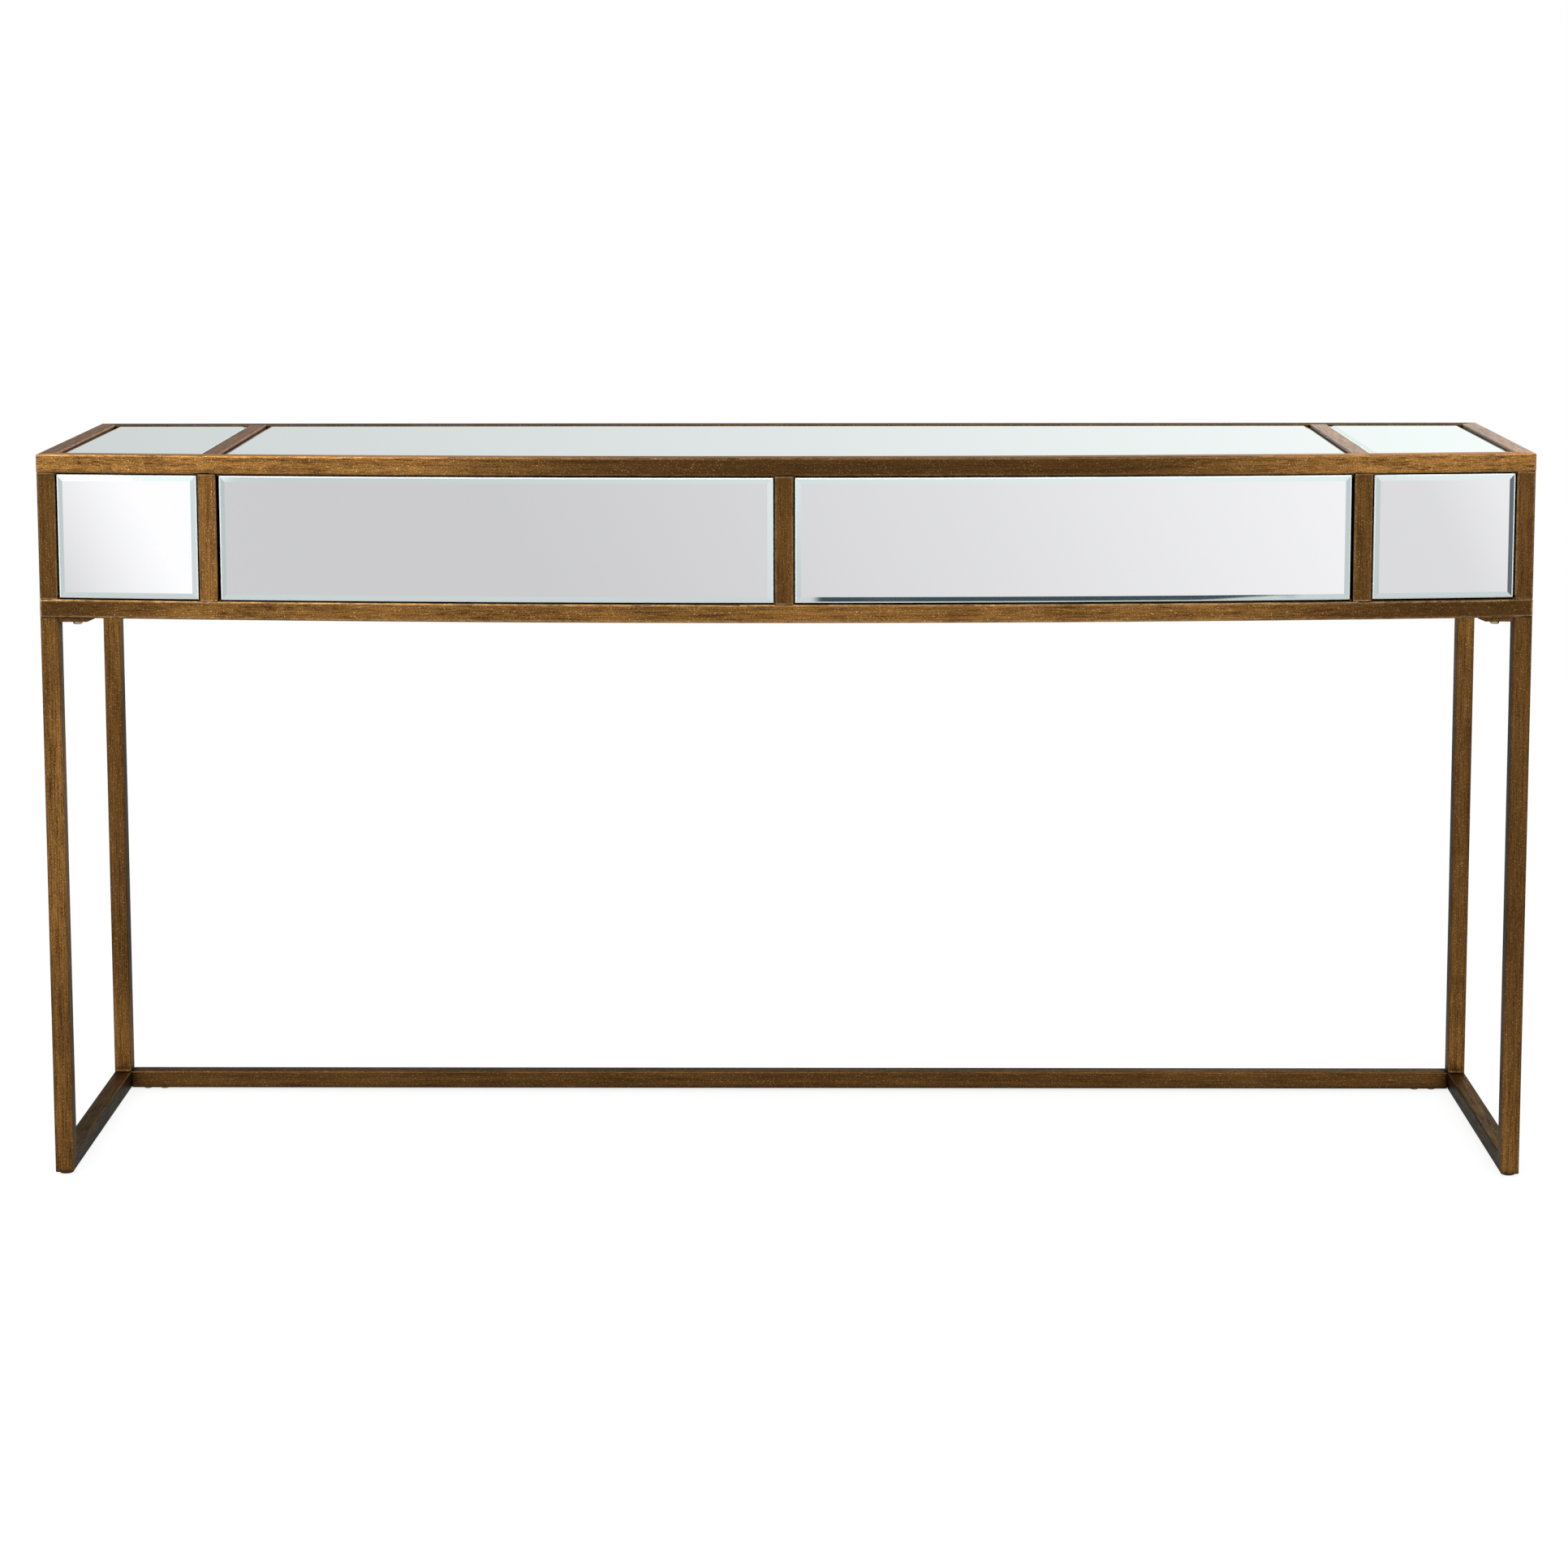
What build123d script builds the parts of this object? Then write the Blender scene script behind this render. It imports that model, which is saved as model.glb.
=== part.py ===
"""Bow-fronted mirrored vanity table: a welded square-tube frame in antique brass finish,
mirror panels in every opening of the case, two push-to-open drawers in the middle of the
front, and two U-shaped side frames joined by one floor stretcher.

Millimetres. The origin is on the floor, under the middle of the table's bounding box.
+X is to the right, +Z is up and the bowed front faces -Y.
"""

import os
from math import asin, cos, sin, sqrt

from build123d import *

# ---------------------------------------------------------------- driving sizes
table_width = 1524.0
table_height = 756.0
side_depth = 330.0  # depth of the table at its two ends
bow_rise = 40.0  # how far the front swells forward at its middle
case_height = 168.0

tube = 19.0  # side of the square steel tube
tube_wall = 1.5
tube_corner = 1.6  # outer corner radius of the tube

stile_offset = 585.0  # middle of the table to the middle of each outer stile

mirror_thickness = 4.0
mirror_recess = 1.0  # mirror face behind the face of the tube
panel_gap = 1.6  # gap round each fixed panel
bevel_width = 6.0
bevel_depth = 1.2
front_board_thickness = 14.0
top_board_thickness = 12.0
back_panel_thickness = 12.0
bottom_panel_thickness = 12.0
bottom_panel_gap = 1.0
divider_thickness = 20.0

support_tab_thickness = 2.0
support_tab_width = 20.0
support_tab_reach = 12.0

drawer_gap = 1.5  # gap round each drawer front
drawer_side_thickness = 12.0
drawer_side_height = 92.0
drawer_side_lift = 8.0  # drawer side above the bottom rail
drawer_bottom_thickness = 6.0
drawer_bottom_lift = 8.0  # drawer bottom above the lower edge of the side
groove_depth = 5.0
groove_clearance = 0.2
drawer_rear_clearance = 16.0  # drawer back to the back panel
drawer_bottom_side_play = 0.3

slide_length = 250.0
slide_thickness = 12.7
slide_height = 45.0
slide_sheet = 1.2
slide_front_setback = 6.0
slide_play = 1.8  # ball race between one member and the next

leg_tab_thickness = 4.5
leg_tab_reach = 36.0
leg_tab_taper = 7.0  # length of the sloping free end
leg_tab_end_thickness = 1.5
leg_screw_inset = 18.5  # screw from the inner face of the leg
screw_diameter = 5.0
screw_hole_play = 0.5
screw_head_diameter = 9.8
screw_head_round = 0.6  # rounded share of the head's height
recess_reach = 0.7  # cross recess tip to tip, as a share of the shank
recess_wing = 0.18  # width of one wing of the recess, as a share of the shank
recess_depth = 0.5  # share of the head's height
leg_screw_head_height = 2.9
nut_width = 8.0
nut_height = 4.0
thread_play = 0.05  # radial, between a screw and its thread
screw_end_play = 2.0  # screw end past its nut

stretcher_end_gap = 0.4
tongue_length = 48.0
tongue_width = 14.0
tongue_thickness = 3.0
first_stretcher_screw = 17.0  # from the inner face of the floor rail
second_stretcher_screw = 36.0
stretcher_screw_head_height = 2.4

glide_height = 3.0
glide_diameter = 15.0
glide_inset = 11.0
glide_stem_diameter = 5.0
glide_stem_length = 6.0
glide_stem_play = 0.1

# ---------------------------------------------------------------- worked out from them
half_width = table_width / 2
y_back = (side_depth + bow_rise) / 2
y_end = y_back - side_depth  # front face of the side frames
y_crown = y_end - bow_rise  # foremost point of the bow
bow_radius = (half_width**2 + bow_rise**2) / (2 * bow_rise)
bow_centre_y = y_crown + bow_radius

case_bottom = table_height - case_height
lower_opening = case_bottom + tube
upper_opening = table_height - tube
inner_half_width = half_width - tube
inner_back = y_back - tube

screw_hole = screw_diameter + 2 * screw_hole_play
thread_hole = screw_diameter + 2 * thread_play

os.makedirs("parts", exist_ok=True)


def save(piece, name):
    """Labels a finished piece and writes it as one STEP file."""
    piece.label = name
    export_step(piece, f"parts/{name}.step")


def bow_y(x, inset=0.0):
    """Y of the bow at x, measured on the arc that lies `inset` behind the front face."""
    return bow_centre_y - sqrt((bow_radius - inset) ** 2 - x**2)


def bow_point(x, inset=0.0):
    return (x, bow_y(x, inset))


# ---------------------------------------------------------------- shapes that repeat
def bow_strip(x_low, x_high, front_inset, back_inset, z_low, z_high):
    """A curved upright board between two arcs of the bow."""
    middle = (x_low + x_high) / 2
    with BuildPart() as strip:
        with BuildSketch(Plane.XY.offset(z_low)):
            with BuildLine():
                ThreePointArc(
                    bow_point(x_low, front_inset),
                    bow_point(middle, front_inset),
                    bow_point(x_high, front_inset),
                )
                Line(bow_point(x_high, front_inset), bow_point(x_high, back_inset))
                ThreePointArc(
                    bow_point(x_high, back_inset),
                    bow_point(middle, back_inset),
                    bow_point(x_low, back_inset),
                )
                Line(bow_point(x_low, back_inset), bow_point(x_low, front_inset))
            make_face()
        extrude(amount=z_high - z_low)
    return strip.part


def bow_slab(x_low, x_high, front_inset, y_rear, z_low, z_high):
    """A flat board whose front edge follows the bow and whose rear edge is straight."""
    middle = (x_low + x_high) / 2
    with BuildPart() as slab:
        with BuildSketch(Plane.XY.offset(z_low)):
            with BuildLine():
                ThreePointArc(
                    bow_point(x_low, front_inset),
                    bow_point(middle, front_inset),
                    bow_point(x_high, front_inset),
                )
                Polyline(
                    bow_point(x_high, front_inset),
                    (x_high, y_rear),
                    (x_low, y_rear),
                    bow_point(x_low, front_inset),
                )
            make_face()
        extrude(amount=z_high - z_low)
    return slab.part


def corner_box(x_low, x_high, y_low, y_high, z_low, z_high):
    """A plain block between two corners."""
    with BuildPart() as block:
        with BuildSketch(Plane.XY.offset(z_low)):
            with Locations(((x_low + x_high) / 2, (y_low + y_high) / 2)):
                Rectangle(x_high - x_low, y_high - y_low)
        extrude(amount=z_high - z_low)
    return block.part


def upright_tube(x, y, z_low, z_high, turn=0.0):
    """A square tube standing between z_low and z_high, turned about its own axis."""
    with BuildPart() as upright:
        with BuildSketch(Plane(origin=(x, y, z_low), x_dir=(cos(turn), sin(turn), 0))):
            RectangleRounded(tube, tube, tube_corner)
            inner = tube - 2 * tube_wall
            Rectangle(inner, inner, mode=Mode.SUBTRACT)
        extrude(amount=z_high - z_low)
    return upright.part


def pan_screw(x, y, z_seat, head_height, shank_length):
    """A pan-head screw driven upwards: its head hangs below z_seat."""
    with BuildPart() as screw:
        with BuildSketch(Plane(origin=(x, y, z_seat), x_dir=(1, 0, 0), z_dir=(0, 0, -1))):
            Circle(screw_head_diameter / 2)
        extrude(amount=head_height)
        crown = screw.faces().sort_by(Axis.Z)[0].edges()
        fillet(crown, head_height * screw_head_round)
        with BuildSketch(Plane.XY.offset(z_seat)):
            with Locations((x, y)):
                Circle(screw_diameter / 2)
        extrude(amount=shank_length)
        recess_length = screw_diameter * recess_reach
        recess_width = screw_diameter * recess_wing
        with BuildSketch(Plane.XY.offset(z_seat - head_height)):
            with Locations((x, y)):
                Rectangle(recess_length, recess_width)
                Rectangle(recess_width, recess_length)
        extrude(amount=head_height * recess_depth, mode=Mode.SUBTRACT)
    return screw.part


# ---------------------------------------------------------------- case frame
def bowed_rail(z_low, screw_xs=()):
    """A bowed tube across the front, mitred to the end rails at both corners."""
    with BuildPart() as rail:
        with BuildSketch(Plane.XY.offset(z_low)):
            with BuildLine():
                ThreePointArc((-half_width, y_end), (0, y_crown), (half_width, y_end))
                Line((half_width, y_end), bow_point(inner_half_width, tube))
                ThreePointArc(
                    bow_point(inner_half_width, tube),
                    bow_point(0, tube),
                    bow_point(-inner_half_width, tube),
                )
                Line(bow_point(-inner_half_width, tube), (-half_width, y_end))
            make_face()
        extrude(amount=tube)
        long_edges = rail.edges().filter_by(GeomType.CIRCLE)
        fillet(long_edges, tube_corner)
        bore = bow_strip(
            -half_width - tube,
            half_width + tube,
            tube_wall,
            tube - tube_wall,
            z_low + tube_wall,
            z_low + tube - tube_wall,
        )
        add(bore, mode=Mode.SUBTRACT)
        for x in screw_xs:
            with BuildSketch(Plane.XY.offset(z_low)):
                with Locations(bow_point(x, tube / 2)):
                    Circle(screw_hole / 2)
            extrude(amount=tube_wall, mode=Mode.SUBTRACT)
    return rail.part


def back_rail(z_low, screw_xs=()):
    """The straight tube across the back, mitred to the end rails."""
    with BuildPart() as rail:
        with BuildSketch(Plane.XY.offset(z_low)):
            with BuildLine():
                Polyline(
                    (-half_width, y_back),
                    (half_width, y_back),
                    (inner_half_width, inner_back),
                    (-inner_half_width, inner_back),
                    close=True,
                )
            make_face()
        extrude(amount=tube)
        fillet(rail.edges().filter_by(Axis.X), tube_corner)
        with BuildSketch(Plane.YZ.offset(-half_width)):
            with Locations((y_back - tube / 2, z_low + tube / 2)):
                Rectangle(tube - 2 * tube_wall, tube - 2 * tube_wall)
        extrude(amount=table_width, mode=Mode.SUBTRACT)
        for x in screw_xs:
            with BuildSketch(Plane.XY.offset(z_low)):
                with Locations((x, y_back - tube / 2)):
                    Circle(screw_hole / 2)
            extrude(amount=tube_wall, mode=Mode.SUBTRACT)
    return rail.part


def end_rail(side, z_low):
    """A front-to-back tube at one end; side is -1 at the left and +1 at the right."""
    with BuildPart() as rail:
        with BuildSketch(Plane.XY.offset(z_low)):
            with BuildLine():
                Polyline(
                    (side * half_width, y_end),
                    (side * half_width, y_back),
                    (side * inner_half_width, inner_back),
                    (side * inner_half_width, bow_y(inner_half_width, tube)),
                    close=True,
                )
            make_face()
        extrude(amount=tube)
        fillet(rail.edges().filter_by(Axis.Y), tube_corner)
        with BuildSketch(Plane.XZ.offset(-y_end + tube)):
            with Locations((side * (half_width - tube / 2), z_low + tube / 2)):
                Rectangle(tube - 2 * tube_wall, tube - 2 * tube_wall)
        extrude(amount=-(side_depth + 2 * tube), mode=Mode.SUBTRACT)
    return rail.part


def cross_rail(x):
    """A tube from front rail to back rail under the joint of two top mirrors."""
    inner = tube - 2 * tube_wall
    with BuildPart() as rail:
        add(bow_slab(x - tube / 2, x + tube / 2, tube, inner_back, upper_opening, table_height))
        fillet(rail.edges().filter_by(Axis.Y), tube_corner)
        with BuildSketch(Plane.XZ.offset(-inner_back)):
            with Locations((x, table_height - tube / 2)):
                Rectangle(inner, inner)
        extrude(amount=side_depth + bow_rise, mode=Mode.SUBTRACT)
    return rail.part


leg_screw_x = inner_half_width - leg_screw_inset
leg_screw_xs = (-leg_screw_x, leg_screw_x)

save(bowed_rail(table_height - tube), "case_front_top_rail")
save(bowed_rail(case_bottom, leg_screw_xs), "case_front_bottom_rail")
save(back_rail(table_height - tube), "case_back_top_rail")
save(back_rail(case_bottom, leg_screw_xs), "case_back_bottom_rail")

sides = (("left", -1), ("right", 1))
post_x = half_width - tube / 2
for side_name, side in sides:
    save(end_rail(side, table_height - tube), f"{side_name}_top_end_rail")
    save(end_rail(side, case_bottom), f"{side_name}_bottom_end_rail")
    front_post = upright_tube(side * post_x, y_end + tube / 2, lower_opening, upper_opening)
    save(front_post, f"{side_name}_front_post")
    save(cross_rail(side * stile_offset), f"{side_name}_cross_rail")

with BuildPart() as back_posts:
    for _, side in sides:
        add(upright_tube(side * post_x, y_back - tube / 2, lower_opening, upper_opening))
save(back_posts.part, "back_posts")

# The stiles stand square to the bow, so the outer two are turned with its tangent.
stile_turn = asin(stile_offset / (bow_radius - tube / 2))
for stile_name, position in (("left", -1), ("centre", 0), ("right", 1)):
    stile_x = position * stile_offset
    stile = upright_tube(
        stile_x,
        bow_y(stile_x, tube / 2),
        lower_opening,
        upper_opening,
        position * stile_turn,
    )
    save(stile, f"{stile_name}_stile")

# ---------------------------------------------------------------- side frames
leg_base = glide_height


def frame_tube(side, points, run_axis, bore_plane_points):
    """One mitred tube of a side frame, from its outline seen from the end of the table."""
    x_start = -half_width if side < 0 else inner_half_width
    with BuildPart() as piece:
        with BuildSketch(Plane.YZ.offset(x_start)):
            with BuildLine():
                Polyline(*points, close=True)
            make_face()
        extrude(amount=tube)
        fillet(piece.edges().filter_by(run_axis), tube_corner)
        with BuildSketch(Plane.YZ.offset(x_start + tube_wall)):
            with BuildLine():
                Polyline(*bore_plane_points, close=True)
            make_face()
        extrude(amount=tube - 2 * tube_wall, mode=Mode.SUBTRACT)
    return piece.part


def box_outline(y_low, y_high, z_low, z_high):
    return (y_low, z_low), (y_high, z_low), (y_high, z_high), (y_low, z_high)


def glide_places(side):
    x = side * (half_width - tube / 2)
    return (x, y_end + glide_inset), (x, y_back - glide_inset)


inner_end = y_end + tube
floor_rail_top = leg_base + tube
for side_name, side in sides:
    front_leg = frame_tube(
        side,
        (
            (y_end, leg_base),
            (inner_end, floor_rail_top),
            (inner_end, case_bottom),
            (y_end, case_bottom),
        ),
        Axis.Z,
        box_outline(y_end + tube_wall, inner_end - tube_wall, leg_base, case_bottom),
    )
    save(front_leg, f"{side_name}_front_leg")

    back_leg = frame_tube(
        side,
        (
            (y_back, leg_base),
            (inner_back, floor_rail_top),
            (inner_back, case_bottom),
            (y_back, case_bottom),
        ),
        Axis.Z,
        box_outline(inner_back + tube_wall, y_back - tube_wall, leg_base, case_bottom),
    )
    save(back_leg, f"{side_name}_back_leg")

    with BuildPart() as floor_rail:
        rail_body = frame_tube(
            side,
            (
                (y_end, leg_base),
                (y_back, leg_base),
                (inner_back, floor_rail_top),
                (inner_end, floor_rail_top),
            ),
            Axis.Y,
            box_outline(y_end, y_back, leg_base + tube_wall, floor_rail_top - tube_wall),
        )
        add(rail_body)
        with BuildSketch(Plane.XY.offset(leg_base)):
            with Locations(*glide_places(side)):
                Circle(glide_stem_diameter / 2 + glide_stem_play)
        extrude(amount=tube_wall, mode=Mode.SUBTRACT)
    save(floor_rail.part, f"{side_name}_floor_rail")

leg_rows = (y_end + tube / 2, y_back - tube / 2)
leg_screw_rows = (bow_y(leg_screw_x, tube / 2), y_back - tube / 2)  # middle of the rail above

# A flat tab is welded to the inner face of each leg, level with its top. Its free
# end slopes up to the rail.
tab_bottom = case_bottom - leg_tab_thickness
tab_free_end = inner_half_width - leg_tab_reach
tab_outline = [
    (inner_half_width, case_bottom),
    (inner_half_width, tab_bottom),
    (tab_free_end + leg_tab_taper, tab_bottom),
    (tab_free_end, case_bottom - leg_tab_end_thickness),
    (tab_free_end, case_bottom),
]
with BuildPart() as leg_tabs:
    for _, side in sides:
        for row_y in leg_rows:
            with BuildSketch(Plane.XZ.offset(-(row_y + tube / 2))):
                Polygon(*[(side * x, z) for x, z in tab_outline], align=None)
            extrude(amount=tube)
    with BuildSketch(Plane.XY.offset(tab_bottom)):
        for x in leg_screw_xs:
            for screw_y in leg_screw_rows:
                with Locations((x, screw_y)):
                    Circle(screw_hole / 2)
    extrude(amount=leg_tab_thickness, mode=Mode.SUBTRACT)
save(leg_tabs.part, "leg_tabs")

leg_screw_length = leg_tab_thickness + tube_wall + nut_height + screw_end_play
with BuildPart() as leg_screws:
    for x in leg_screw_xs:
        for screw_y in leg_screw_rows:
            add(pan_screw(x, screw_y, tab_bottom, leg_screw_head_height, leg_screw_length))
save(leg_screws.part, "leg_screws")

with BuildPart() as leg_nuts:
    for x in leg_screw_xs:
        for screw_y in leg_screw_rows:
            with BuildSketch(Plane.XY.offset(case_bottom + tube_wall)):
                with Locations((x, screw_y)):
                    RegularPolygon(nut_width / 2, 6, major_radius=False)
                    Circle(thread_hole / 2, mode=Mode.SUBTRACT)
            extrude(amount=nut_height)
save(leg_nuts.part, "leg_nuts")

# ---------------------------------------------------------------- floor stretcher
stretcher_half = inner_half_width - stretcher_end_gap
stretcher_y = y_back - tube / 2
stretcher_screw_places = [
    (side * (inner_half_width - inset), stretcher_y)
    for _, side in sides
    for inset in (first_stretcher_screw, second_stretcher_screw)
]

with BuildPart() as floor_stretcher:
    with BuildSketch(Plane.YZ.offset(-stretcher_half)):
        with Locations((stretcher_y, leg_base + tube / 2)):
            RectangleRounded(tube, tube, tube_corner)
            Rectangle(tube - 2 * tube_wall, tube - 2 * tube_wall, mode=Mode.SUBTRACT)
    extrude(amount=2 * stretcher_half)
    with BuildSketch(Plane.XY.offset(leg_base)):
        with Locations(*stretcher_screw_places):
            Circle(screw_hole / 2)
    extrude(amount=tube_wall, mode=Mode.SUBTRACT)
save(floor_stretcher.part, "floor_stretcher")

# A threaded tongue is welded to each floor rail and slides inside the stretcher.
with BuildPart() as stretcher_tongues:
    with BuildSketch(Plane.XY.offset(leg_base + tube_wall)):
        for _, side in sides:
            with Locations((side * (inner_half_width - tongue_length / 2), stretcher_y)):
                Rectangle(tongue_length, tongue_width)
        with Locations(*stretcher_screw_places):
            Circle(thread_hole / 2, mode=Mode.SUBTRACT)
    extrude(amount=tongue_thickness)
save(stretcher_tongues.part, "stretcher_tongues")

stretcher_screw_length = tube_wall + tongue_thickness + screw_end_play
with BuildPart() as stretcher_screws:
    for x, y in stretcher_screw_places:
        add(pan_screw(x, y, leg_base, stretcher_screw_head_height, stretcher_screw_length))
save(stretcher_screws.part, "stretcher_screws")

with BuildPart() as glides:
    places = [place for _, side in sides for place in glide_places(side)]
    with BuildSketch(Plane.XY):
        with Locations(*places):
            Circle(glide_diameter / 2)
    extrude(amount=glide_height)
    fillet(glides.faces().filter_by(Axis.Z).group_by(Axis.Z)[0].edges(), glide_height / 3)
    with BuildSketch(Plane.XY.offset(glide_height)):
        with Locations(*places):
            Circle(glide_stem_diameter / 2)
    extrude(amount=glide_stem_length)
save(glides.part, "glides")

# ---------------------------------------------------------------- top panels
top_mirror_face = table_height - mirror_recess
top_board_face = top_mirror_face - mirror_thickness
top_board_base = top_board_face - top_board_thickness
stile_half = tube / 2
top_bays = (
    ("left", -inner_half_width, -stile_offset - stile_half),
    ("centre", -stile_offset + stile_half, stile_offset - stile_half),
    ("right", stile_offset + stile_half, inner_half_width),
)
for bay_name, x_low, x_high in top_bays:
    outline = (x_low + panel_gap, x_high - panel_gap, tube + panel_gap, inner_back - panel_gap)
    with BuildPart() as top_mirror:
        add(bow_slab(*outline, top_board_face, top_mirror_face))
        face = top_mirror.faces().sort_by(Axis.Z)[-1]
        chamfer(face.edges(), length=bevel_width, length2=bevel_depth, reference=face)
    save(top_mirror.part, f"top_mirror_{bay_name}")
    save(bow_slab(*outline, top_board_base, top_board_face), f"top_board_{bay_name}")

# ---------------------------------------------------------------- fixed front panels
mirror_back = mirror_recess + mirror_thickness
front_board_back = mirror_back + front_board_thickness
# A turned stile reaches this far to each side of its own middle line.
stile_reach = stile_half * (cos(stile_turn) + sin(stile_turn))


def side_bevel_outline(x_edge, inward):
    """The wedge, seen from above, that grinds the bevel on one upright edge."""
    inner = Vector(*bow_point(x_edge + inward * bevel_width, mirror_recess))
    outer = Vector(*bow_point(x_edge, mirror_recess + bevel_depth))
    run = outer - inner
    start = inner - run
    end = outer + run
    return start, end, Vector(end.X, min(start.Y, end.Y) - bevel_width)


def bevelled_front_mirror(x_low, x_high, z_low, z_high):
    """A curved mirror whose front face has a wide ground bevel on all four edges."""
    face_y = bow_y(0, mirror_recess)
    with BuildPart() as mirror_panel:
        add(bow_strip(x_low, x_high, mirror_recess, mirror_back, z_low, z_high))
        with BuildSketch(Plane.YZ):
            for z_edge, inward in ((z_low, 1), (z_high, -1)):
                with BuildLine():
                    Polyline(
                        (face_y - bevel_depth, z_edge + inward * 2 * bevel_width),
                        (face_y - bevel_depth, z_edge - inward * bevel_width),
                        (face_y + 2 * bevel_depth, z_edge - inward * bevel_width),
                        close=True,
                    )
                make_face()
        revolve(axis=Axis((0, bow_centre_y, 0), (0, 0, 1)), mode=Mode.SUBTRACT)
        with BuildSketch(Plane.XY.offset(z_low)):
            for x_edge, inward in ((x_low, 1), (x_high, -1)):
                with BuildLine():
                    Polyline(*side_bevel_outline(x_edge, inward), close=True)
                make_face()
        extrude(amount=z_high - z_low, mode=Mode.SUBTRACT)
    return mirror_panel.part


panel_low = lower_opening + panel_gap
panel_high = upper_opening - panel_gap
fixed_inner = stile_offset + stile_reach + panel_gap
fixed_outer = inner_half_width - panel_gap
for side_name, side in sides:
    x_low, x_high = sorted((side * fixed_inner, side * fixed_outer))
    fixed_mirror = bevelled_front_mirror(x_low, x_high, panel_low, panel_high)
    save(fixed_mirror, f"{side_name}_front_mirror")

with BuildPart() as fixed_front_boards:
    for _, side in sides:
        x_low, x_high = sorted((side * fixed_inner, side * fixed_outer))
        add(bow_strip(x_low, x_high, mirror_back, front_board_back, panel_low, panel_high))
save(fixed_front_boards.part, "fixed_front_boards")

# ---------------------------------------------------------------- end panels
end_low = y_end + tube + panel_gap
end_high = inner_back - panel_gap
for side_name, side in sides:
    face_x = half_width - mirror_recess
    x_low, x_high = sorted((side * face_x, side * (face_x - mirror_thickness)))
    with BuildPart() as end_mirror:
        add(corner_box(x_low, x_high, end_low, end_high, panel_low, panel_high))
        face = end_mirror.faces().sort_by(Axis.X)[-1 if side > 0 else 0]
        chamfer(face.edges(), length=bevel_width, length2=bevel_depth, reference=face)
    save(end_mirror.part, f"{side_name}_end_mirror")

with BuildPart() as end_boards:
    for _, side in sides:
        outer = half_width - mirror_back
        x_low, x_high = sorted((side * outer, side * (outer - front_board_thickness)))
        add(corner_box(x_low, x_high, end_low, end_high, panel_low, panel_high))
save(end_boards.part, "end_boards")

# ---------------------------------------------------------------- back, bottom, dividers
back_panel_half = inner_half_width - panel_gap
with BuildPart() as back_panel:
    add(
        corner_box(
            -back_panel_half,
            back_panel_half,
            inner_back,
            inner_back + back_panel_thickness,
            panel_low,
            panel_high,
        )
    )
save(back_panel.part, "back_panel")

bottom_panel_base = case_bottom + support_tab_thickness
bottom_panel_top = bottom_panel_base + bottom_panel_thickness
bottom_panel_half = inner_half_width - bottom_panel_gap
with BuildPart() as bottom_panel:
    add(
        bow_slab(
            -bottom_panel_half,
            bottom_panel_half,
            tube + bottom_panel_gap,
            inner_back - bottom_panel_gap,
            bottom_panel_base,
            bottom_panel_top,
        )
    )
save(bottom_panel.part, "bottom_panel")

divider_half = divider_thickness / 2
divider_tops = ((-stile_offset, upper_opening), (0, top_board_base), (stile_offset, upper_opening))
with BuildPart() as dividers:
    for x, divider_top in divider_tops:
        add(
            bow_slab(
                x - divider_half,
                x + divider_half,
                tube,
                inner_back,
                lower_opening,
                divider_top,
            )
        )
        # The foot of each divider stands on the bottom panel, between the bottom rails.
        add(
            bow_slab(
                x - divider_half,
                x + divider_half,
                tube + bottom_panel_gap,
                inner_back - bottom_panel_gap,
                bottom_panel_top,
                lower_opening,
            )
        )
save(dividers.part, "dividers")

# Small steel tabs, welded inside the rails, carry the top boards and the bottom panel.
centre_tab_x = stile_offset * 2 / 3
top_tab_xs = (
    -(stile_offset + inner_half_width) / 2,
    -centre_tab_x,
    -centre_tab_x / 3,
    centre_tab_x / 3,
    centre_tab_x,
    (stile_offset + inner_half_width) / 2,
)
tab_levels = (
    (top_board_base - support_tab_thickness, top_tab_xs),
    (case_bottom, top_tab_xs),
)
with BuildPart() as support_tabs:
    for tab_z, tab_xs in tab_levels:
        for x in tab_xs:
            tab_low = x - support_tab_width / 2
            tab_high = x + support_tab_width / 2
            tab_top = tab_z + support_tab_thickness
            add(bow_strip(tab_low, tab_high, tube, tube + support_tab_reach, tab_z, tab_top))
            y_low = inner_back - support_tab_reach
            add(corner_box(tab_low, tab_high, y_low, inner_back, tab_z, tab_top))
save(support_tabs.part, "support_tabs")

# ---------------------------------------------------------------- drawers
front_low = lower_opening + drawer_gap
front_high = upper_opening - drawer_gap
front_outer = stile_offset - stile_reach - drawer_gap
front_inner = stile_half + drawer_gap
box_outer = stile_offset - divider_half - slide_thickness
box_inner = divider_half + slide_thickness
side_base = lower_opening + drawer_side_lift
side_top = side_base + drawer_side_height
tray_base = side_base + drawer_bottom_lift
tray_top = tray_base + drawer_bottom_thickness
box_rear = inner_back - drawer_rear_clearance
slide_middle_z = side_base + drawer_side_height / 2
slide_front = bow_y(stile_offset, front_board_back) + slide_front_setback


def groove(x_low, x_high, front_inset, y_rear):
    """The slot round the drawer that takes the edge of its bottom."""
    z_low = tray_base - groove_clearance
    z_high = tray_top + groove_clearance
    return bow_slab(x_low, x_high, front_inset, y_rear, z_low, z_high)


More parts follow.
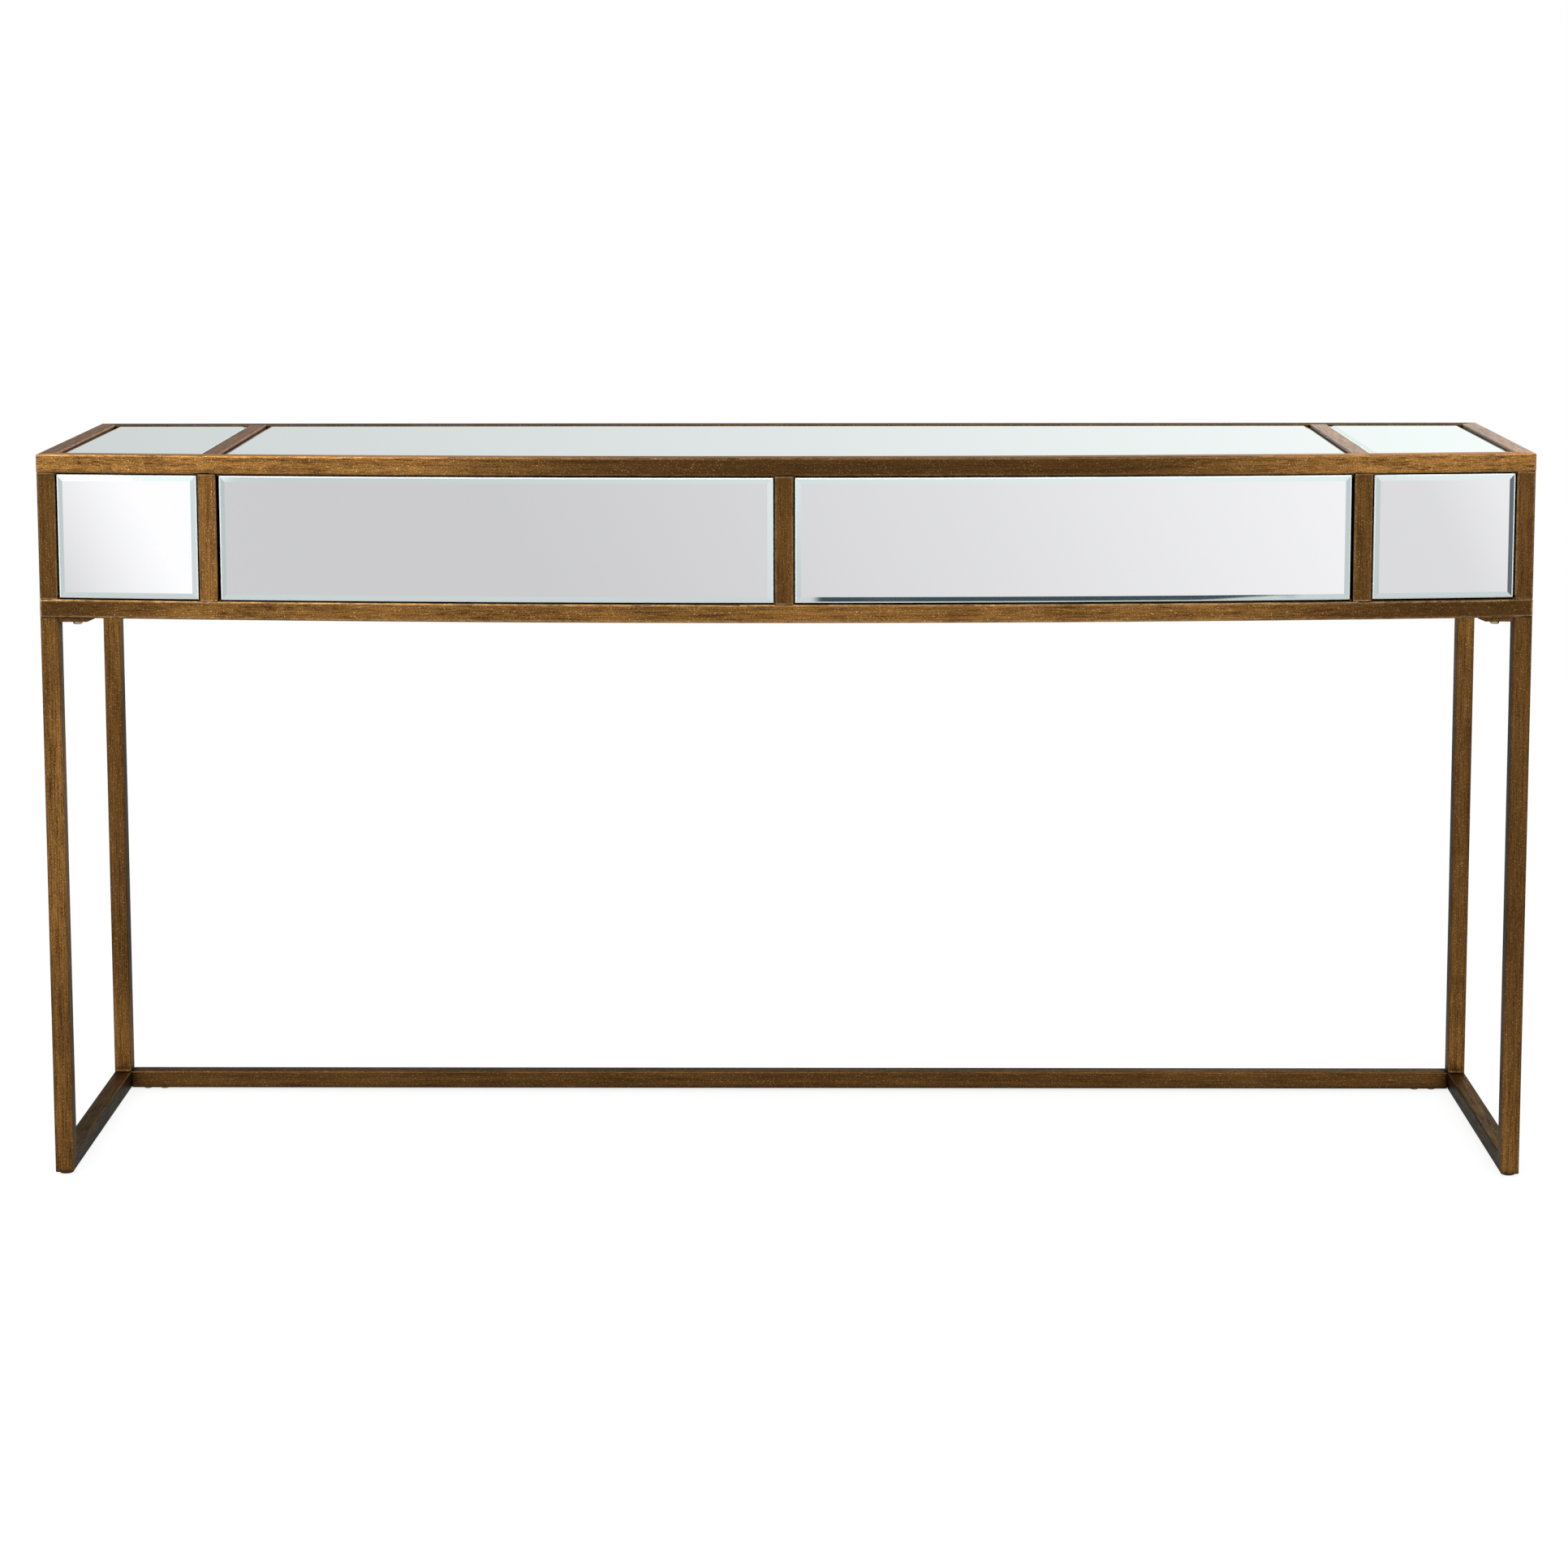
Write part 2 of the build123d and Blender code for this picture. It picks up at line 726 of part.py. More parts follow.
for side_name, side in sides:
    front_x = sorted((side * front_inner, side * front_outer))
    box_x = sorted((side * box_inner, side * box_outer))
    inside_x = (box_x[0] + drawer_side_thickness, box_x[1] - drawer_side_thickness)
    tray_x = (
        inside_x[0] - groove_depth + drawer_bottom_side_play,
        inside_x[1] + groove_depth - drawer_bottom_side_play,
    )
    groove_x = (inside_x[0] - groove_depth, inside_x[1] + groove_depth)
    groove_front = front_board_back - groove_depth

    drawer_mirror = bevelled_front_mirror(*front_x, front_low, front_high)
    save(drawer_mirror, f"{side_name}_drawer_mirror")

    with BuildPart() as drawer_front:
        add(bow_strip(*front_x, mirror_back, front_board_back, front_low, front_high))
        add(groove(*groove_x, groove_front, box_rear), mode=Mode.SUBTRACT)
    save(drawer_front.part, f"{side_name}_drawer_front")

    with BuildPart() as drawer_sides:
        for x_low in (box_x[0], inside_x[1]):
            x_high = x_low + drawer_side_thickness
            add(bow_slab(x_low, x_high, front_board_back, box_rear, side_base, side_top))
        add(groove(*groove_x, front_board_back, box_rear), mode=Mode.SUBTRACT)
    save(drawer_sides.part, f"{side_name}_drawer_sides")

    with BuildPart() as drawer_back:
        y_low = box_rear - drawer_side_thickness
        add(corner_box(*inside_x, y_low, box_rear, tray_top, side_top))
    save(drawer_back.part, f"{side_name}_drawer_back")

    tray_front = groove_front + drawer_bottom_side_play
    with BuildPart() as drawer_bottom:
        add(bow_slab(*tray_x, tray_front, box_rear, tray_base, tray_top))
    save(drawer_bottom.part, f"{side_name}_drawer_bottom")


# ---------------------------------------------------------------- telescopic slides
def channel(web_x, open_x, half_height):
    """One rolled slide member: a C with its web at web_x, open towards open_x."""
    towards = 1 if open_x > web_x else -1
    inner_x = web_x + towards * slide_sheet
    inner_height = half_height - slide_sheet
    y_low, y_high = slide_front, slide_front + slide_length
    with BuildPart() as member:
        outer_low, outer_high = sorted((web_x, open_x))
        add(
            corner_box(
                outer_low,
                outer_high,
                y_low,
                y_high,
                slide_middle_z - half_height,
                slide_middle_z + half_height,
            )
        )
        inner_low, inner_high = sorted((inner_x, open_x))
        add(
            corner_box(
                inner_low,
                inner_high,
                y_low,
                y_high,
                slide_middle_z - inner_height,
                slide_middle_z + inner_height,
            ),
            mode=Mode.SUBTRACT,
        )
    return member.part


def slide_members(divider_x, towards):
    """The three members of one slide, from the divider's face towards the drawer."""
    outer_half = slide_height / 2
    middle_half = outer_half - slide_sheet - slide_play
    inner_half = middle_half - slide_sheet - slide_play
    cabinet_open = divider_x + towards * (slide_thickness - slide_sheet)
    middle_web = divider_x + towards * (slide_sheet + slide_play)
    drawer_web = divider_x + towards * slide_thickness
    drawer_open = middle_web + towards * (slide_sheet + slide_play)
    middle_open = drawer_web - towards * (slide_sheet + slide_play / 2)
    return (
        channel(divider_x, cabinet_open, outer_half),
        channel(middle_web, middle_open, middle_half),
        channel(drawer_web, drawer_open, inner_half),
    )


cabinet_members = []
for side_name, side in sides:
    outer_slide = slide_members(side * (stile_offset - divider_half), -side)
    inner_slide = slide_members(side * divider_half, side)
    cabinet_members += [outer_slide[0], inner_slide[0]]

    with BuildPart() as middle_members:
        add(outer_slide[1])
        add(inner_slide[1])
    save(middle_members.part, f"{side_name}_slide_middles")

    with BuildPart() as drawer_members:
        add(outer_slide[2])
        add(inner_slide[2])
    save(drawer_members.part, f"{side_name}_slide_drawer_members")

with BuildPart() as slide_cabinet_members:
    for member in cabinet_members:
        add(member)
save(slide_cabinet_members.part, "slide_cabinet_members")
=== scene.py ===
# %% [markdown]
# The bow-fronted vanity table stands 756 mm high and 1524 mm wide. Its frame is square steel tube with a
# hand-rubbed antique brass finish, and its front, ends and top are bevelled mirrors.
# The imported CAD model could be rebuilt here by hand, but loading it keeps every size and joint as the
# maker set it. So this lesson starts from that frame, and only adds finishes and finer pieces to it.

# %% Load the frame
import math
import bmesh
import bpy
from mathutils import Matrix, Vector


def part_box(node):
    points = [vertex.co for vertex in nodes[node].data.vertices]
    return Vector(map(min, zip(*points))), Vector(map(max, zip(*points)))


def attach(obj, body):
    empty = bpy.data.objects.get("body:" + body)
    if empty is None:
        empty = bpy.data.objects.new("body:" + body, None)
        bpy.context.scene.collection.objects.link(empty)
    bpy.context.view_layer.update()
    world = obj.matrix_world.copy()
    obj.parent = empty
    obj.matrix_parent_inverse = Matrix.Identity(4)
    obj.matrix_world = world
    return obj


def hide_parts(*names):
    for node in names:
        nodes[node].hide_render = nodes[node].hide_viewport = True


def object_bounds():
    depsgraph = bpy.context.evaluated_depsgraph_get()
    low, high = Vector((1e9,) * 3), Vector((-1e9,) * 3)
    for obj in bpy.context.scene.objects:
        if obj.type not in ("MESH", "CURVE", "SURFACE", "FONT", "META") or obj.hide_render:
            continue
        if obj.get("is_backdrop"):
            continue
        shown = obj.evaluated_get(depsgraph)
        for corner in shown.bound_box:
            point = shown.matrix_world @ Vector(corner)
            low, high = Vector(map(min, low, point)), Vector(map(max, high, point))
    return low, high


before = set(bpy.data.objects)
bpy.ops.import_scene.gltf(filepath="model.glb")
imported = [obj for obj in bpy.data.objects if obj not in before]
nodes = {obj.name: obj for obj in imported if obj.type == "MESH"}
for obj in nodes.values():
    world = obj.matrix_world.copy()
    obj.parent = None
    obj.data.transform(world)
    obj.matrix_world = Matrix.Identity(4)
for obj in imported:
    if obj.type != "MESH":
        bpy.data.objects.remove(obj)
cad_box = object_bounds()
print("loaded", len(nodes), "parts; box", [[round(v, 4) for v in corner] for corner in cad_box])

# %% [markdown]
# The front of the case is one long arc. Its radius isn't stored anywhere, but two measured places give it:
# how far the middle of the top rail stands out, and where the side frames stop.
# Half the width and the rise between those two places are enough to work out any circle's radius.

# %% Work out the bow
half_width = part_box("case_front_top_rail")[1].x
crown_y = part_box("case_front_top_rail")[0].y
end_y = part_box("left_front_leg")[0].y
bow_rise = end_y - crown_y
bow_radius = (half_width**2 + bow_rise**2) / (2 * bow_rise)
bow_centre = crown_y + bow_radius


def bow_y(x, inset=0.0):
    """Y of the arc that lies inset metres behind the front of the rails."""
    return bow_centre - math.sqrt((bow_radius - inset) ** 2 - x**2)


print("bow radius", round(bow_radius, 3), "m")

# %% [markdown]
# Furniture is best seen from far away with a long lens, so that its sides hardly lean.
# The camera could look level with a tall shift, but then other views would lose the table at the edge of
# the frame. Here the camera tips down a little and a small shift does the rest.

# %% Set up the camera
camera_place = Vector((0.0358, -3.6750, 1.1230))
pitch, yaw, roll = math.radians(6.979), math.radians(-0.590), math.radians(0.102)
camera_data = bpy.data.cameras.new("studio_camera")
camera_data.lens = 80.25
camera_data.sensor_width = 36.0
camera_data.shift_y = -0.17
camera = bpy.data.objects.new("studio_camera", camera_data)
camera.location = camera_place
forward = Vector((math.sin(yaw) * math.cos(pitch), math.cos(yaw) * math.cos(pitch), -math.sin(pitch)))
level_right = Vector((math.cos(yaw), -math.sin(yaw), 0.0))
level_down = forward.cross(level_right)
right = level_right * math.cos(roll) + level_down * math.sin(roll)
up = forward.cross(right) * -1.0
camera.rotation_mode = "QUATERNION"
camera.rotation_quaternion = Matrix((right, up, -forward)).transposed().to_quaternion()
bpy.context.scene.collection.objects.link(camera)
bpy.context.scene.camera = camera
print("camera stands", round(crown_y - camera_place.y, 2), "m in front of the table")

# %% [markdown]
# Finishes are networks of small nodes. Making and wiring each one by hand takes many lines, so a few
# helpers do the repeated work: one adds a node, one does arithmetic, one mixes two colours by a mask,
# and one starts a node group, which is a set of nodes with its own named sockets that many finishes share.
# Every finish also begins alike, with a Principled shader and the object's own coordinates, and most end
# with a bump, so two more helpers do that.

# %% Helpers for wiring nodes
def wire(tree, value, socket):
    """Links value to a socket if it comes from a node, or sets it if it's a plain number or colour."""
    if isinstance(value, bpy.types.NodeSocket):
        tree.links.new(value, socket)
    else:
        socket.default_value = value


def add(tree, kind, inputs=None, **settings):
    """Adds a node, sets its settings and wires its inputs by name or number."""
    node = tree.nodes.new(kind)
    for key, value in settings.items():
        setattr(node, key, value)
    for key, value in (inputs or {}).items():
        wire(tree, value, node.inputs[key])
    return node


def maths(tree, operation, *values, clamp=False):
    """Arithmetic on one, two or three numbers, or masks."""
    node = add(tree, "ShaderNodeMath", dict(enumerate(values)), operation=operation, use_clamp=clamp)
    return node.outputs[0]


def vector_maths(tree, operation, a, b):
    """Arithmetic on two vectors. A dot product gives a number."""
    node = add(tree, "ShaderNodeVectorMath", {0: a, 1: b}, operation=operation)
    return node.outputs["Value" if operation == "DOT_PRODUCT" else "Vector"]


def fade(tree, value, low, high, start=0.0, end=1.0):
    """Turns value from low to high into start to end, with soft ends."""
    sockets = {"Value": value, "From Min": low, "From Max": high, "To Min": start, "To Max": end}
    return add(tree, "ShaderNodeMapRange", sockets, interpolation_type="SMOOTHSTEP").outputs["Result"]


def between(tree, value, low, high, soft):
    """A mask that is 1 between two limits, with soft edges inside them."""
    return maths(tree, "MULTIPLY", fade(tree, value, low, low + soft), fade(tree, value, high, high - soft))


def alike(tree, value):
    """One number as a grey, or as three equal coordinates."""
    return add(tree, "ShaderNodeCombineXYZ", {0: value, 1: value, 2: value}).outputs[0]


def blend(tree, first, second, share):
    """Two masks added up, with share for the first and the rest for the second."""
    return maths(tree, "ADD", maths(tree, "MULTIPLY", first, share), maths(tree, "MULTIPLY", second, 1.0 - share))


def mix(tree, mask, first, second):
    """First colour where the mask is 0, second where it is 1."""
    node = add(tree, "ShaderNodeMix", data_type="RGBA")
    for socket, value in zip((node.inputs[0], node.inputs[6], node.inputs[7]), (mask, first, second)):
        wire(tree, value, socket)
    return node.outputs[2]


def noise(tree, place, scale, detail=3.0, roughness=0.55):
    """Cloudy noise from 0 to 1."""
    sockets = {"Vector": place, "Scale": scale, "Detail": detail, "Roughness": roughness}
    return add(tree, "ShaderNodeTexNoise", sockets).outputs["Fac"]


def start_group(name, inputs, outputs):
    """A new node group with named sockets, and its two end nodes."""
    group = bpy.data.node_groups.new(name, "ShaderNodeTree")
    for socket, kind, value in inputs:
        item = group.interface.new_socket(socket, in_out="INPUT", socket_type="NodeSocket" + kind)
        item.default_value = value
    for socket, kind in outputs:
        group.interface.new_socket(socket, in_out="OUTPUT", socket_type="NodeSocket" + kind)
    return group, group.nodes.new("NodeGroupInput").outputs, group.nodes.new("NodeGroupOutput").inputs


def use_group(tree, group, **inputs):
    """Places a node group in a material with its own values, and gives its outputs."""
    return add(tree, "ShaderNodeGroup", inputs, node_tree=group).outputs


def start_finish(name):
    """A new material, its tree, its Principled shader and the object's own coordinates."""
    finish = bpy.data.materials.new(name)
    finish.use_nodes = True
    tree = finish.node_tree
    place = add(tree, "ShaderNodeTexCoord").outputs["Object"]
    return finish, tree, tree.nodes["Principled BSDF"], place


def raise_surface(tree, shader, strength, depth, height):
    """Bumps the surface: where height is 1 it stands depth metres proud."""
    bump = add(tree, "ShaderNodeBump", {"Strength": strength, "Distance": depth, "Height": height})
    wire(tree, bump.outputs["Normal"], shader.inputs["Normal"])


print("helpers ready")

# %% [markdown]
# Mirrors show the room, so the room matters as much as the lamps. A photographer's studio has pale walls
# and soft screens round the table: each mirror panel faces its own part of them and takes its own grey.
# The screens could be modelled as planes, but they would stand in the way of other views. The world
# background takes their place: its colour changes softly with direction, and a plain white is all that
# the camera itself sees of it.

# %% Greys of the studio walls
def paint(red, green, blue):
    """A colour as a painter's chart gives it, 0 to 255, made linear for the renderer."""
    return tuple(((c / 255 + 0.055) / 1.055) ** 2.4 for c in (red, green, blue)) + (1.0,)


def wall_ramp(tree, angle, stops):
    """Greys by compass angle in degrees. A painter's grey above 255 is a screen that glows."""
    low, high = stops[0][0], stops[-1][0]
    share = maths(tree, "DIVIDE", maths(tree, "SUBTRACT", angle, low), high - low, clamp=True)
    ramp = add(tree, "ShaderNodeValToRGB", {0: share})
    elements = ramp.color_ramp.elements
    while len(elements) < len(stops):
        elements.new(0.5)
    for element, (at, grey) in zip(elements, stops):
        element.position = (at - low) / (high - low)
        element.color = paint(grey, grey, grey)
    return ramp.outputs["Color"]


left_screen = [
    (-90, 214), (-52, 224), (-44, 206), (-30, 214), (-25, 217), (-24, 232), (-22, 253), (-20.8, 262), (-18, 262),
]
middle_screen = [(-20, 211), (-9, 211), (-5, 215.5), (-0.6, 221.5), (0.5, 224), (6, 231), (12, 241), (18, 250)]
right_screen = [(18, 226), (21, 227), (23.3, 242), (26, 248), (38, 248), (52, 236), (90, 206)]
back_wall = [(-40, 208), (-12, 216), (-7, 223), (0, 234), (8, 251), (12, 258), (40, 260)]
green_of_glass = (0.935, 1.0, 0.98)
pure_white = (1.0, 1.0, 1.0, 1.0)
print(len(left_screen) + len(middle_screen) + len(right_screen), "greys in front,", len(back_wall), "behind")

# %% Start the studio background
def compass(tree, across, ahead):
    """The angle in degrees from straight ahead, positive to the right."""
    return maths(tree, "MULTIPLY", maths(tree, "ARCTAN2", across, ahead), math.degrees(1))


world = bpy.data.worlds.new("studio")
bpy.context.scene.world = world
world.use_nodes = True
air = world.node_tree
air.nodes.clear()
direction = add(air, "ShaderNodeSeparateXYZ", {0: add(air, "ShaderNodeTexCoord").outputs["Generated"]}).outputs
sideways, backward = direction[0], direction[1]
rise_angle = maths(air, "MULTIPLY", maths(air, "ARCSINE", direction[2]), math.degrees(1))
to_front = compass(air, sideways, maths(air, "MULTIPLY", backward, -1.0))
to_back = compass(air, sideways, backward)
print("the background knows its compass angle and its height")

# %% [markdown]
# The three screens in front stand edge to edge, and each edge falls behind a brass stile, so no panel
# shows a seam. Their greys lean a little with height, which gives the panels a slanting shade. A grey
# card stands at the far right, and darkens the right-hand bevels of the two mirrors on that side.

# %% Hang the screens in front
left_seam, right_seam = -19.2, 18.1
level_of_no_lean, most_lean = 7.3, 4.0  # degrees below the horizon, and degrees either way
card_grey = (0.16, 0.17, 0.19, 1.0)
lean = maths(air, "MAXIMUM", maths(air, "ADD", rise_angle, level_of_no_lean), -most_lean)
lean = maths(air, "MINIMUM", lean, most_lean)
leaned = maths(air, "ADD", to_front, lean)
left_part, middle_part, right_part = [wall_ramp(air, leaned, s) for s in (left_screen, middle_screen, right_screen)]
in_front = mix(air, maths(air, "GREATER_THAN", to_front, left_seam), left_part, middle_part)
in_front = mix(air, maths(air, "GREATER_THAN", to_front, right_seam), in_front, right_part)
card = maths(
    air, "MULTIPLY", between(air, to_front, 40.0, 52.0, 3.0), between(air, rise_angle, -14.0, -2.0, 2.0)
)
in_front = mix(air, card, in_front, card_grey)
print("three screens and a card in front")

# %% [markdown]
# Behind the table stands one wall, in the faint green that thick glass gives to what it reflects. Far to
# either side the studio is darker, so tubes get a dark rim. Above the walls hang bright cloths: an even
# one in front, and one behind that grows brighter to the right, until it ends.
# Straight overhead the ceiling is pale grey, so the top mirrors still show when seen from above.

# %% Add the back wall and the ceiling
dimmest_cloth, brightest_cloth, past_cloth = 0.35, 3.6, 0.9
overhead_grey = (0.86, 0.865, 0.87, 1.0)
behind = vector_maths(air, "MULTIPLY", wall_ramp(air, to_back, back_wall), green_of_glass)
walls = mix(air, fade(air, backward, -0.05, 0.05), in_front, behind)
side_shade = fade(air, maths(air, "ABSOLUTE", sideways), 0.80, 0.96, 1.0, 0.50)
walls = add(air, "ShaderNodeVectorMath", {0: walls, "Scale": side_shade}, operation="SCALE").outputs[0]
growing = fade(air, sideways, -0.28, 0.30, dimmest_cloth, brightest_cloth)
ending = fade(air, sideways, 0.36, 0.52, brightest_cloth, past_cloth)
back_cloth = alike(air, maths(air, "MINIMUM", growing, ending))
cloths = mix(air, fade(air, backward, -0.2, 0.2), alike(air, 1.1), back_cloth)
cloths = mix(air, fade(air, rise_angle, 34.0, 44.0), cloths, overhead_grey)
studio = mix(air, fade(air, rise_angle, 14.0, 28.0), walls, cloths)
seen = mix(air, add(air, "ShaderNodeLightPath").outputs["Is Camera Ray"], studio, pure_white)
background = add(air, "ShaderNodeBackground", {"Color": seen, "Strength": 1.0})
wire(air, background.outputs[0], add(air, "ShaderNodeOutputWorld").inputs["Surface"])
print("studio background built with", len(air.nodes), "nodes")

# %% [markdown]
# Soft light comes from large lamps: the bigger a lamp is for its distance, the softer its shadow's edge.
# One broad screen hangs over the table, a strip hangs above the front, and a smaller screen fills in from
# the front left. The camera doesn't see the lamps themselves, but mirrors and tubes do.

# %% Hang the soft lamps
def soft_lamp(name, place, aim, width, height, power):
    """A rectangular lamp that faces a point."""
    data = bpy.data.lights.new(name, "AREA")
    data.shape = "RECTANGLE"
    data.size = width
    data.size_y = height
    data.energy = power
    lamp = bpy.data.objects.new(name, data)
    lamp.location = place
    lamp.rotation_mode = "QUATERNION"
    lamp.rotation_quaternion = (Vector(aim) - Vector(place)).to_track_quat("-Z", "Y")
    lamp.visible_camera = False
    bpy.context.scene.collection.objects.link(lamp)
    return lamp


soft_lamps = [
    soft_lamp("overhead_screen", (0.0, -0.1, 2.9), (0.0, 0.0, 0.0), 3.4, 2.4, 30.0),
    soft_lamp("front_strip", (0.0, -1.9, 2.5), (0.0, -0.1, 0.6), 3.4, 0.7, 38.0),
    soft_lamp("front_left_screen", (-2.4, -2.6, 2.2), (0.0, 0.0, 0.5), 1.6, 1.6, 26.0),
]
print("lamps:", [lamp.name for lamp in soft_lamps])

# %% [markdown]
# The floor is a plain pale sheet. Near the table it is a matt surface that takes soft shadows. Further
# out it brightens to the same white as the background, as a paper sweep does when it is lit from behind,
# so no edge shows where it ends. In mirrors the paper is a little greyer than to the eye, so that a
# mirror that faces the floor still stands out from it. A narrow strip of dark paper lies in front of the
# right half. Only reflections see it: from the front, it darkens the lower bevel of the right drawer.

# %% Lay the floor
floor_radius, rim_points = 3.2, 96
turns = [math.tau * i / rim_points for i in range(rim_points)]
rim = [(floor_radius * math.cos(turn), floor_radius * math.sin(turn), 0.0) for turn in turns]
floor_mesh = bpy.data.meshes.new("floor")
floor_mesh.from_pydata(rim, [], [list(range(rim_points))])
floor = bpy.data.objects.new("floor", floor_mesh)
bpy.context.scene.collection.objects.link(floor)
floor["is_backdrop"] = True
print("floor", 2 * floor_radius, "m across")

# %% Paper the floor
paper_in_mirrors, paper_to_the_eye = (0.60, 0.60, 0.61, 1.0), (0.93, 0.93, 0.93, 1.0)
dark_paper = (0.065, 0.095, 0.115, 1.0)
glow_in_mirrors, glow_to_the_eye = 0.72, 1.02
floor_paper = bpy.data.materials.new("floor_paper")
floor_paper.use_nodes = True
paper = floor_paper.node_tree
paper.nodes.clear()
place = add(paper, "ShaderNodeTexCoord").outputs["Object"]
distance = add(paper, "ShaderNodeVectorMath", {0: place}, operation="LENGTH").outputs["Value"]
straight = add(paper, "ShaderNodeLightPath").outputs["Is Camera Ray"]
spot = add(paper, "ShaderNodeSeparateXYZ", {0: place}).outputs
strip = maths(
    paper, "MULTIPLY", between(paper, spot[0], 0.03, 0.97, 0.02), between(paper, spot[1], -1.235, -1.115, 0.005)
)
strip = maths(paper, "MULTIPLY", strip, maths(paper, "SUBTRACT", 1.0, straight))
tone = mix(paper, strip, mix(paper, straight, paper_in_mirrors, paper_to_the_eye), dark_paper)
tooth = fade(paper, noise(paper, place, 900.0), 0.3, 0.7, 0.82, 0.95)
matt = add(paper, "ShaderNodeBsdfPrincipled", {"Base Color": tone, "Roughness": tooth, "Specular IOR Level": 0.2})
lit = fade(paper, straight, 0.0, 1.0, glow_in_mirrors, glow_to_the_eye)
glow = add(paper, "ShaderNodeEmission", {"Color": mix(paper, strip, pure_white, dark_paper), "Strength": lit})
lit_share = fade(paper, distance, 0.2, 2.4, 0.8, 1.0)
sweep = add(paper, "ShaderNodeMixShader", {0: lit_share, 1: matt.outputs[0], 2: glow.outputs[0]})
wire(paper, sweep.outputs[0], add(paper, "ShaderNodeOutputMaterial").inputs["Surface"])
floor_mesh.materials.append(floor_paper)
print("floor papered, dark strip", dark_paper[:3])

# %% [markdown]
# Brushed metal has streaks that run along the tube, because the maker rubs it lengthwise with a coarse
# pad. Noise stretched a long way in one direction looks like that. The stretch is an input, so that the
# same group serves rails, posts and side rails, which run along x, z and y.

# %% Group: brushed streaks
streaks, given, out = start_group(
    "brushed_streaks",
    [("Place", "Vector", (0, 0, 0)), ("Stretch", "Vector", (20, 700, 700))],
    [("Fine", "Float"), ("Broad", "Float")],
)
stretched = vector_maths(streaks, "MULTIPLY", given["Place"], given["Stretch"])
wire(streaks, fade(streaks, noise(streaks, stretched, 1.0, 4.0, 0.6), 0.34, 0.66), out["Fine"])
wire(streaks, fade(streaks, noise(streaks, stretched, 0.22, 3.0), 0.3, 0.7), out["Broad"])
print("group", streaks.name)

# %% [markdown]
# A rubbed finish is never even: the pad takes more patina off in some places, in patches a hand wide,
# and leaves small bright specks of bare brass. Two sizes of noise give the patches, and a fine noise with
# a high threshold gives the specks. A finer one still, the grit of the pad, has no threshold.

# %% Group: patches and specks
patches, given, out = start_group(
    "patches_and_specks",
    [("Place", "Vector", (0, 0, 0))],
    [("Patches", "Float"), ("Specks", "Float"), ("Grit", "Float")],
)
large = noise(patches, given["Place"], 7.0, 2.0)
small = noise(patches, given["Place"], 34.0, 3.0)
wire(patches, fade(patches, blend(patches, large, small, 0.6), 0.36, 0.64), out["Patches"])
wire(patches, fade(patches, noise(patches, given["Place"], 800.0, 1.0), 0.62, 0.72), out["Specks"])
wire(patches, fade(patches, noise(patches, given["Place"], 1300.0, 2.0), 0.34, 0.66), out["Grit"])
print("group", patches.name)

# %% [markdown]
# Corners of a tube lose their patina first, where hands and cloths touch them. The Bevel node gives the
# direction that the surface would have if its edges were rounder. Where that differs from the true
# direction there is an edge, and noise breaks the mask up so that the wear looks accidental.
# The same group gives the opposite: inner corners, where patina and grime are never rubbed off. It finds them
# by ambient occlusion, so this mask also marks where shade falls, and the dark it brings is partly painted shade.

# %% Group: rubbed edges, and dark corners with patina and painted shade
wear, given, out = start_group(
    "edge_wear_and_corner_shade",
    [("Place", "Vector", (0, 0, 0)), ("Radius", "Float", 0.0028), ("Reach", "Float", 0.012)],
    [("Edges", "Float"), ("Corners", "Float")],
)
rounded = add(wear, "ShaderNodeBevel", {"Radius": given["Radius"]}, samples=4).outputs[0]
true_normal = add(wear, "ShaderNodeNewGeometry").outputs["Normal"]
sameness = vector_maths(wear, "DOT_PRODUCT", rounded, true_normal)
broken = fade(wear, noise(wear, given["Place"], 120.0, 3.0), 0.36, 0.6, 0.25, 1.0)
wire(wear, maths(wear, "MULTIPLY", fade(wear, sameness, 0.985, 0.90), broken), out["Edges"])
# Ambient occlusion marks the corners and gaps where shade falls, so the darkening it drives is partly painted
# shade.
hollow = add(wear, "ShaderNodeAmbientOcclusion", {"Distance": given["Reach"]}, samples=6).outputs["AO"]
soiled_and_shaded = fade(wear, noise(wear, given["Place"], 240.0, 3.0), 0.3, 0.7, 0.55, 1.0)
wire(wear, maths(wear, "MULTIPLY", fade(wear, hollow, 0.95, 0.55), soiled_and_shaded), out["Corners"])
print("group", wear.name)

# %% [markdown]
# The tone also changes slowly along each tube: the maker leaves the middle of the top rail almost black
# and rubs its ends to gold, while the bottom rail is darkest at its ends. This group measures how far a
# place is from the middle of its tube, from 0 in the middle to 1 at the ends.

# %% Group: middle to ends
along, given, out = start_group(
    "middle_to_ends",
    [
        ("Place", "Vector", (0, 0, 0)),
        ("Axis", "Vector", (1, 0, 0)),
        ("Middle", "Float", 0.0),
        ("Start", "Float", 0.1),
        ("End", "Float", 0.7),
    ],
    [("Ends", "Float")],
)
coordinate = vector_maths(along, "DOT_PRODUCT", given["Place"], given["Axis"])
offset = maths(along, "ABSOLUTE", maths(along, "SUBTRACT", coordinate, given["Middle"]))
wire(along, fade(along, offset, given["Start"], given["End"]), out["Ends"])
print("group", along.name)

# %% [markdown]
# The frame is plain steel tube, plated with brass, darkened with acid and rubbed back by hand. It could be
# painted with one brown, but it is the two layers that make it look like metal: dark bronze below, gold
# where the pad has passed. The masks from the groups are added up into one measure of how much is gold.

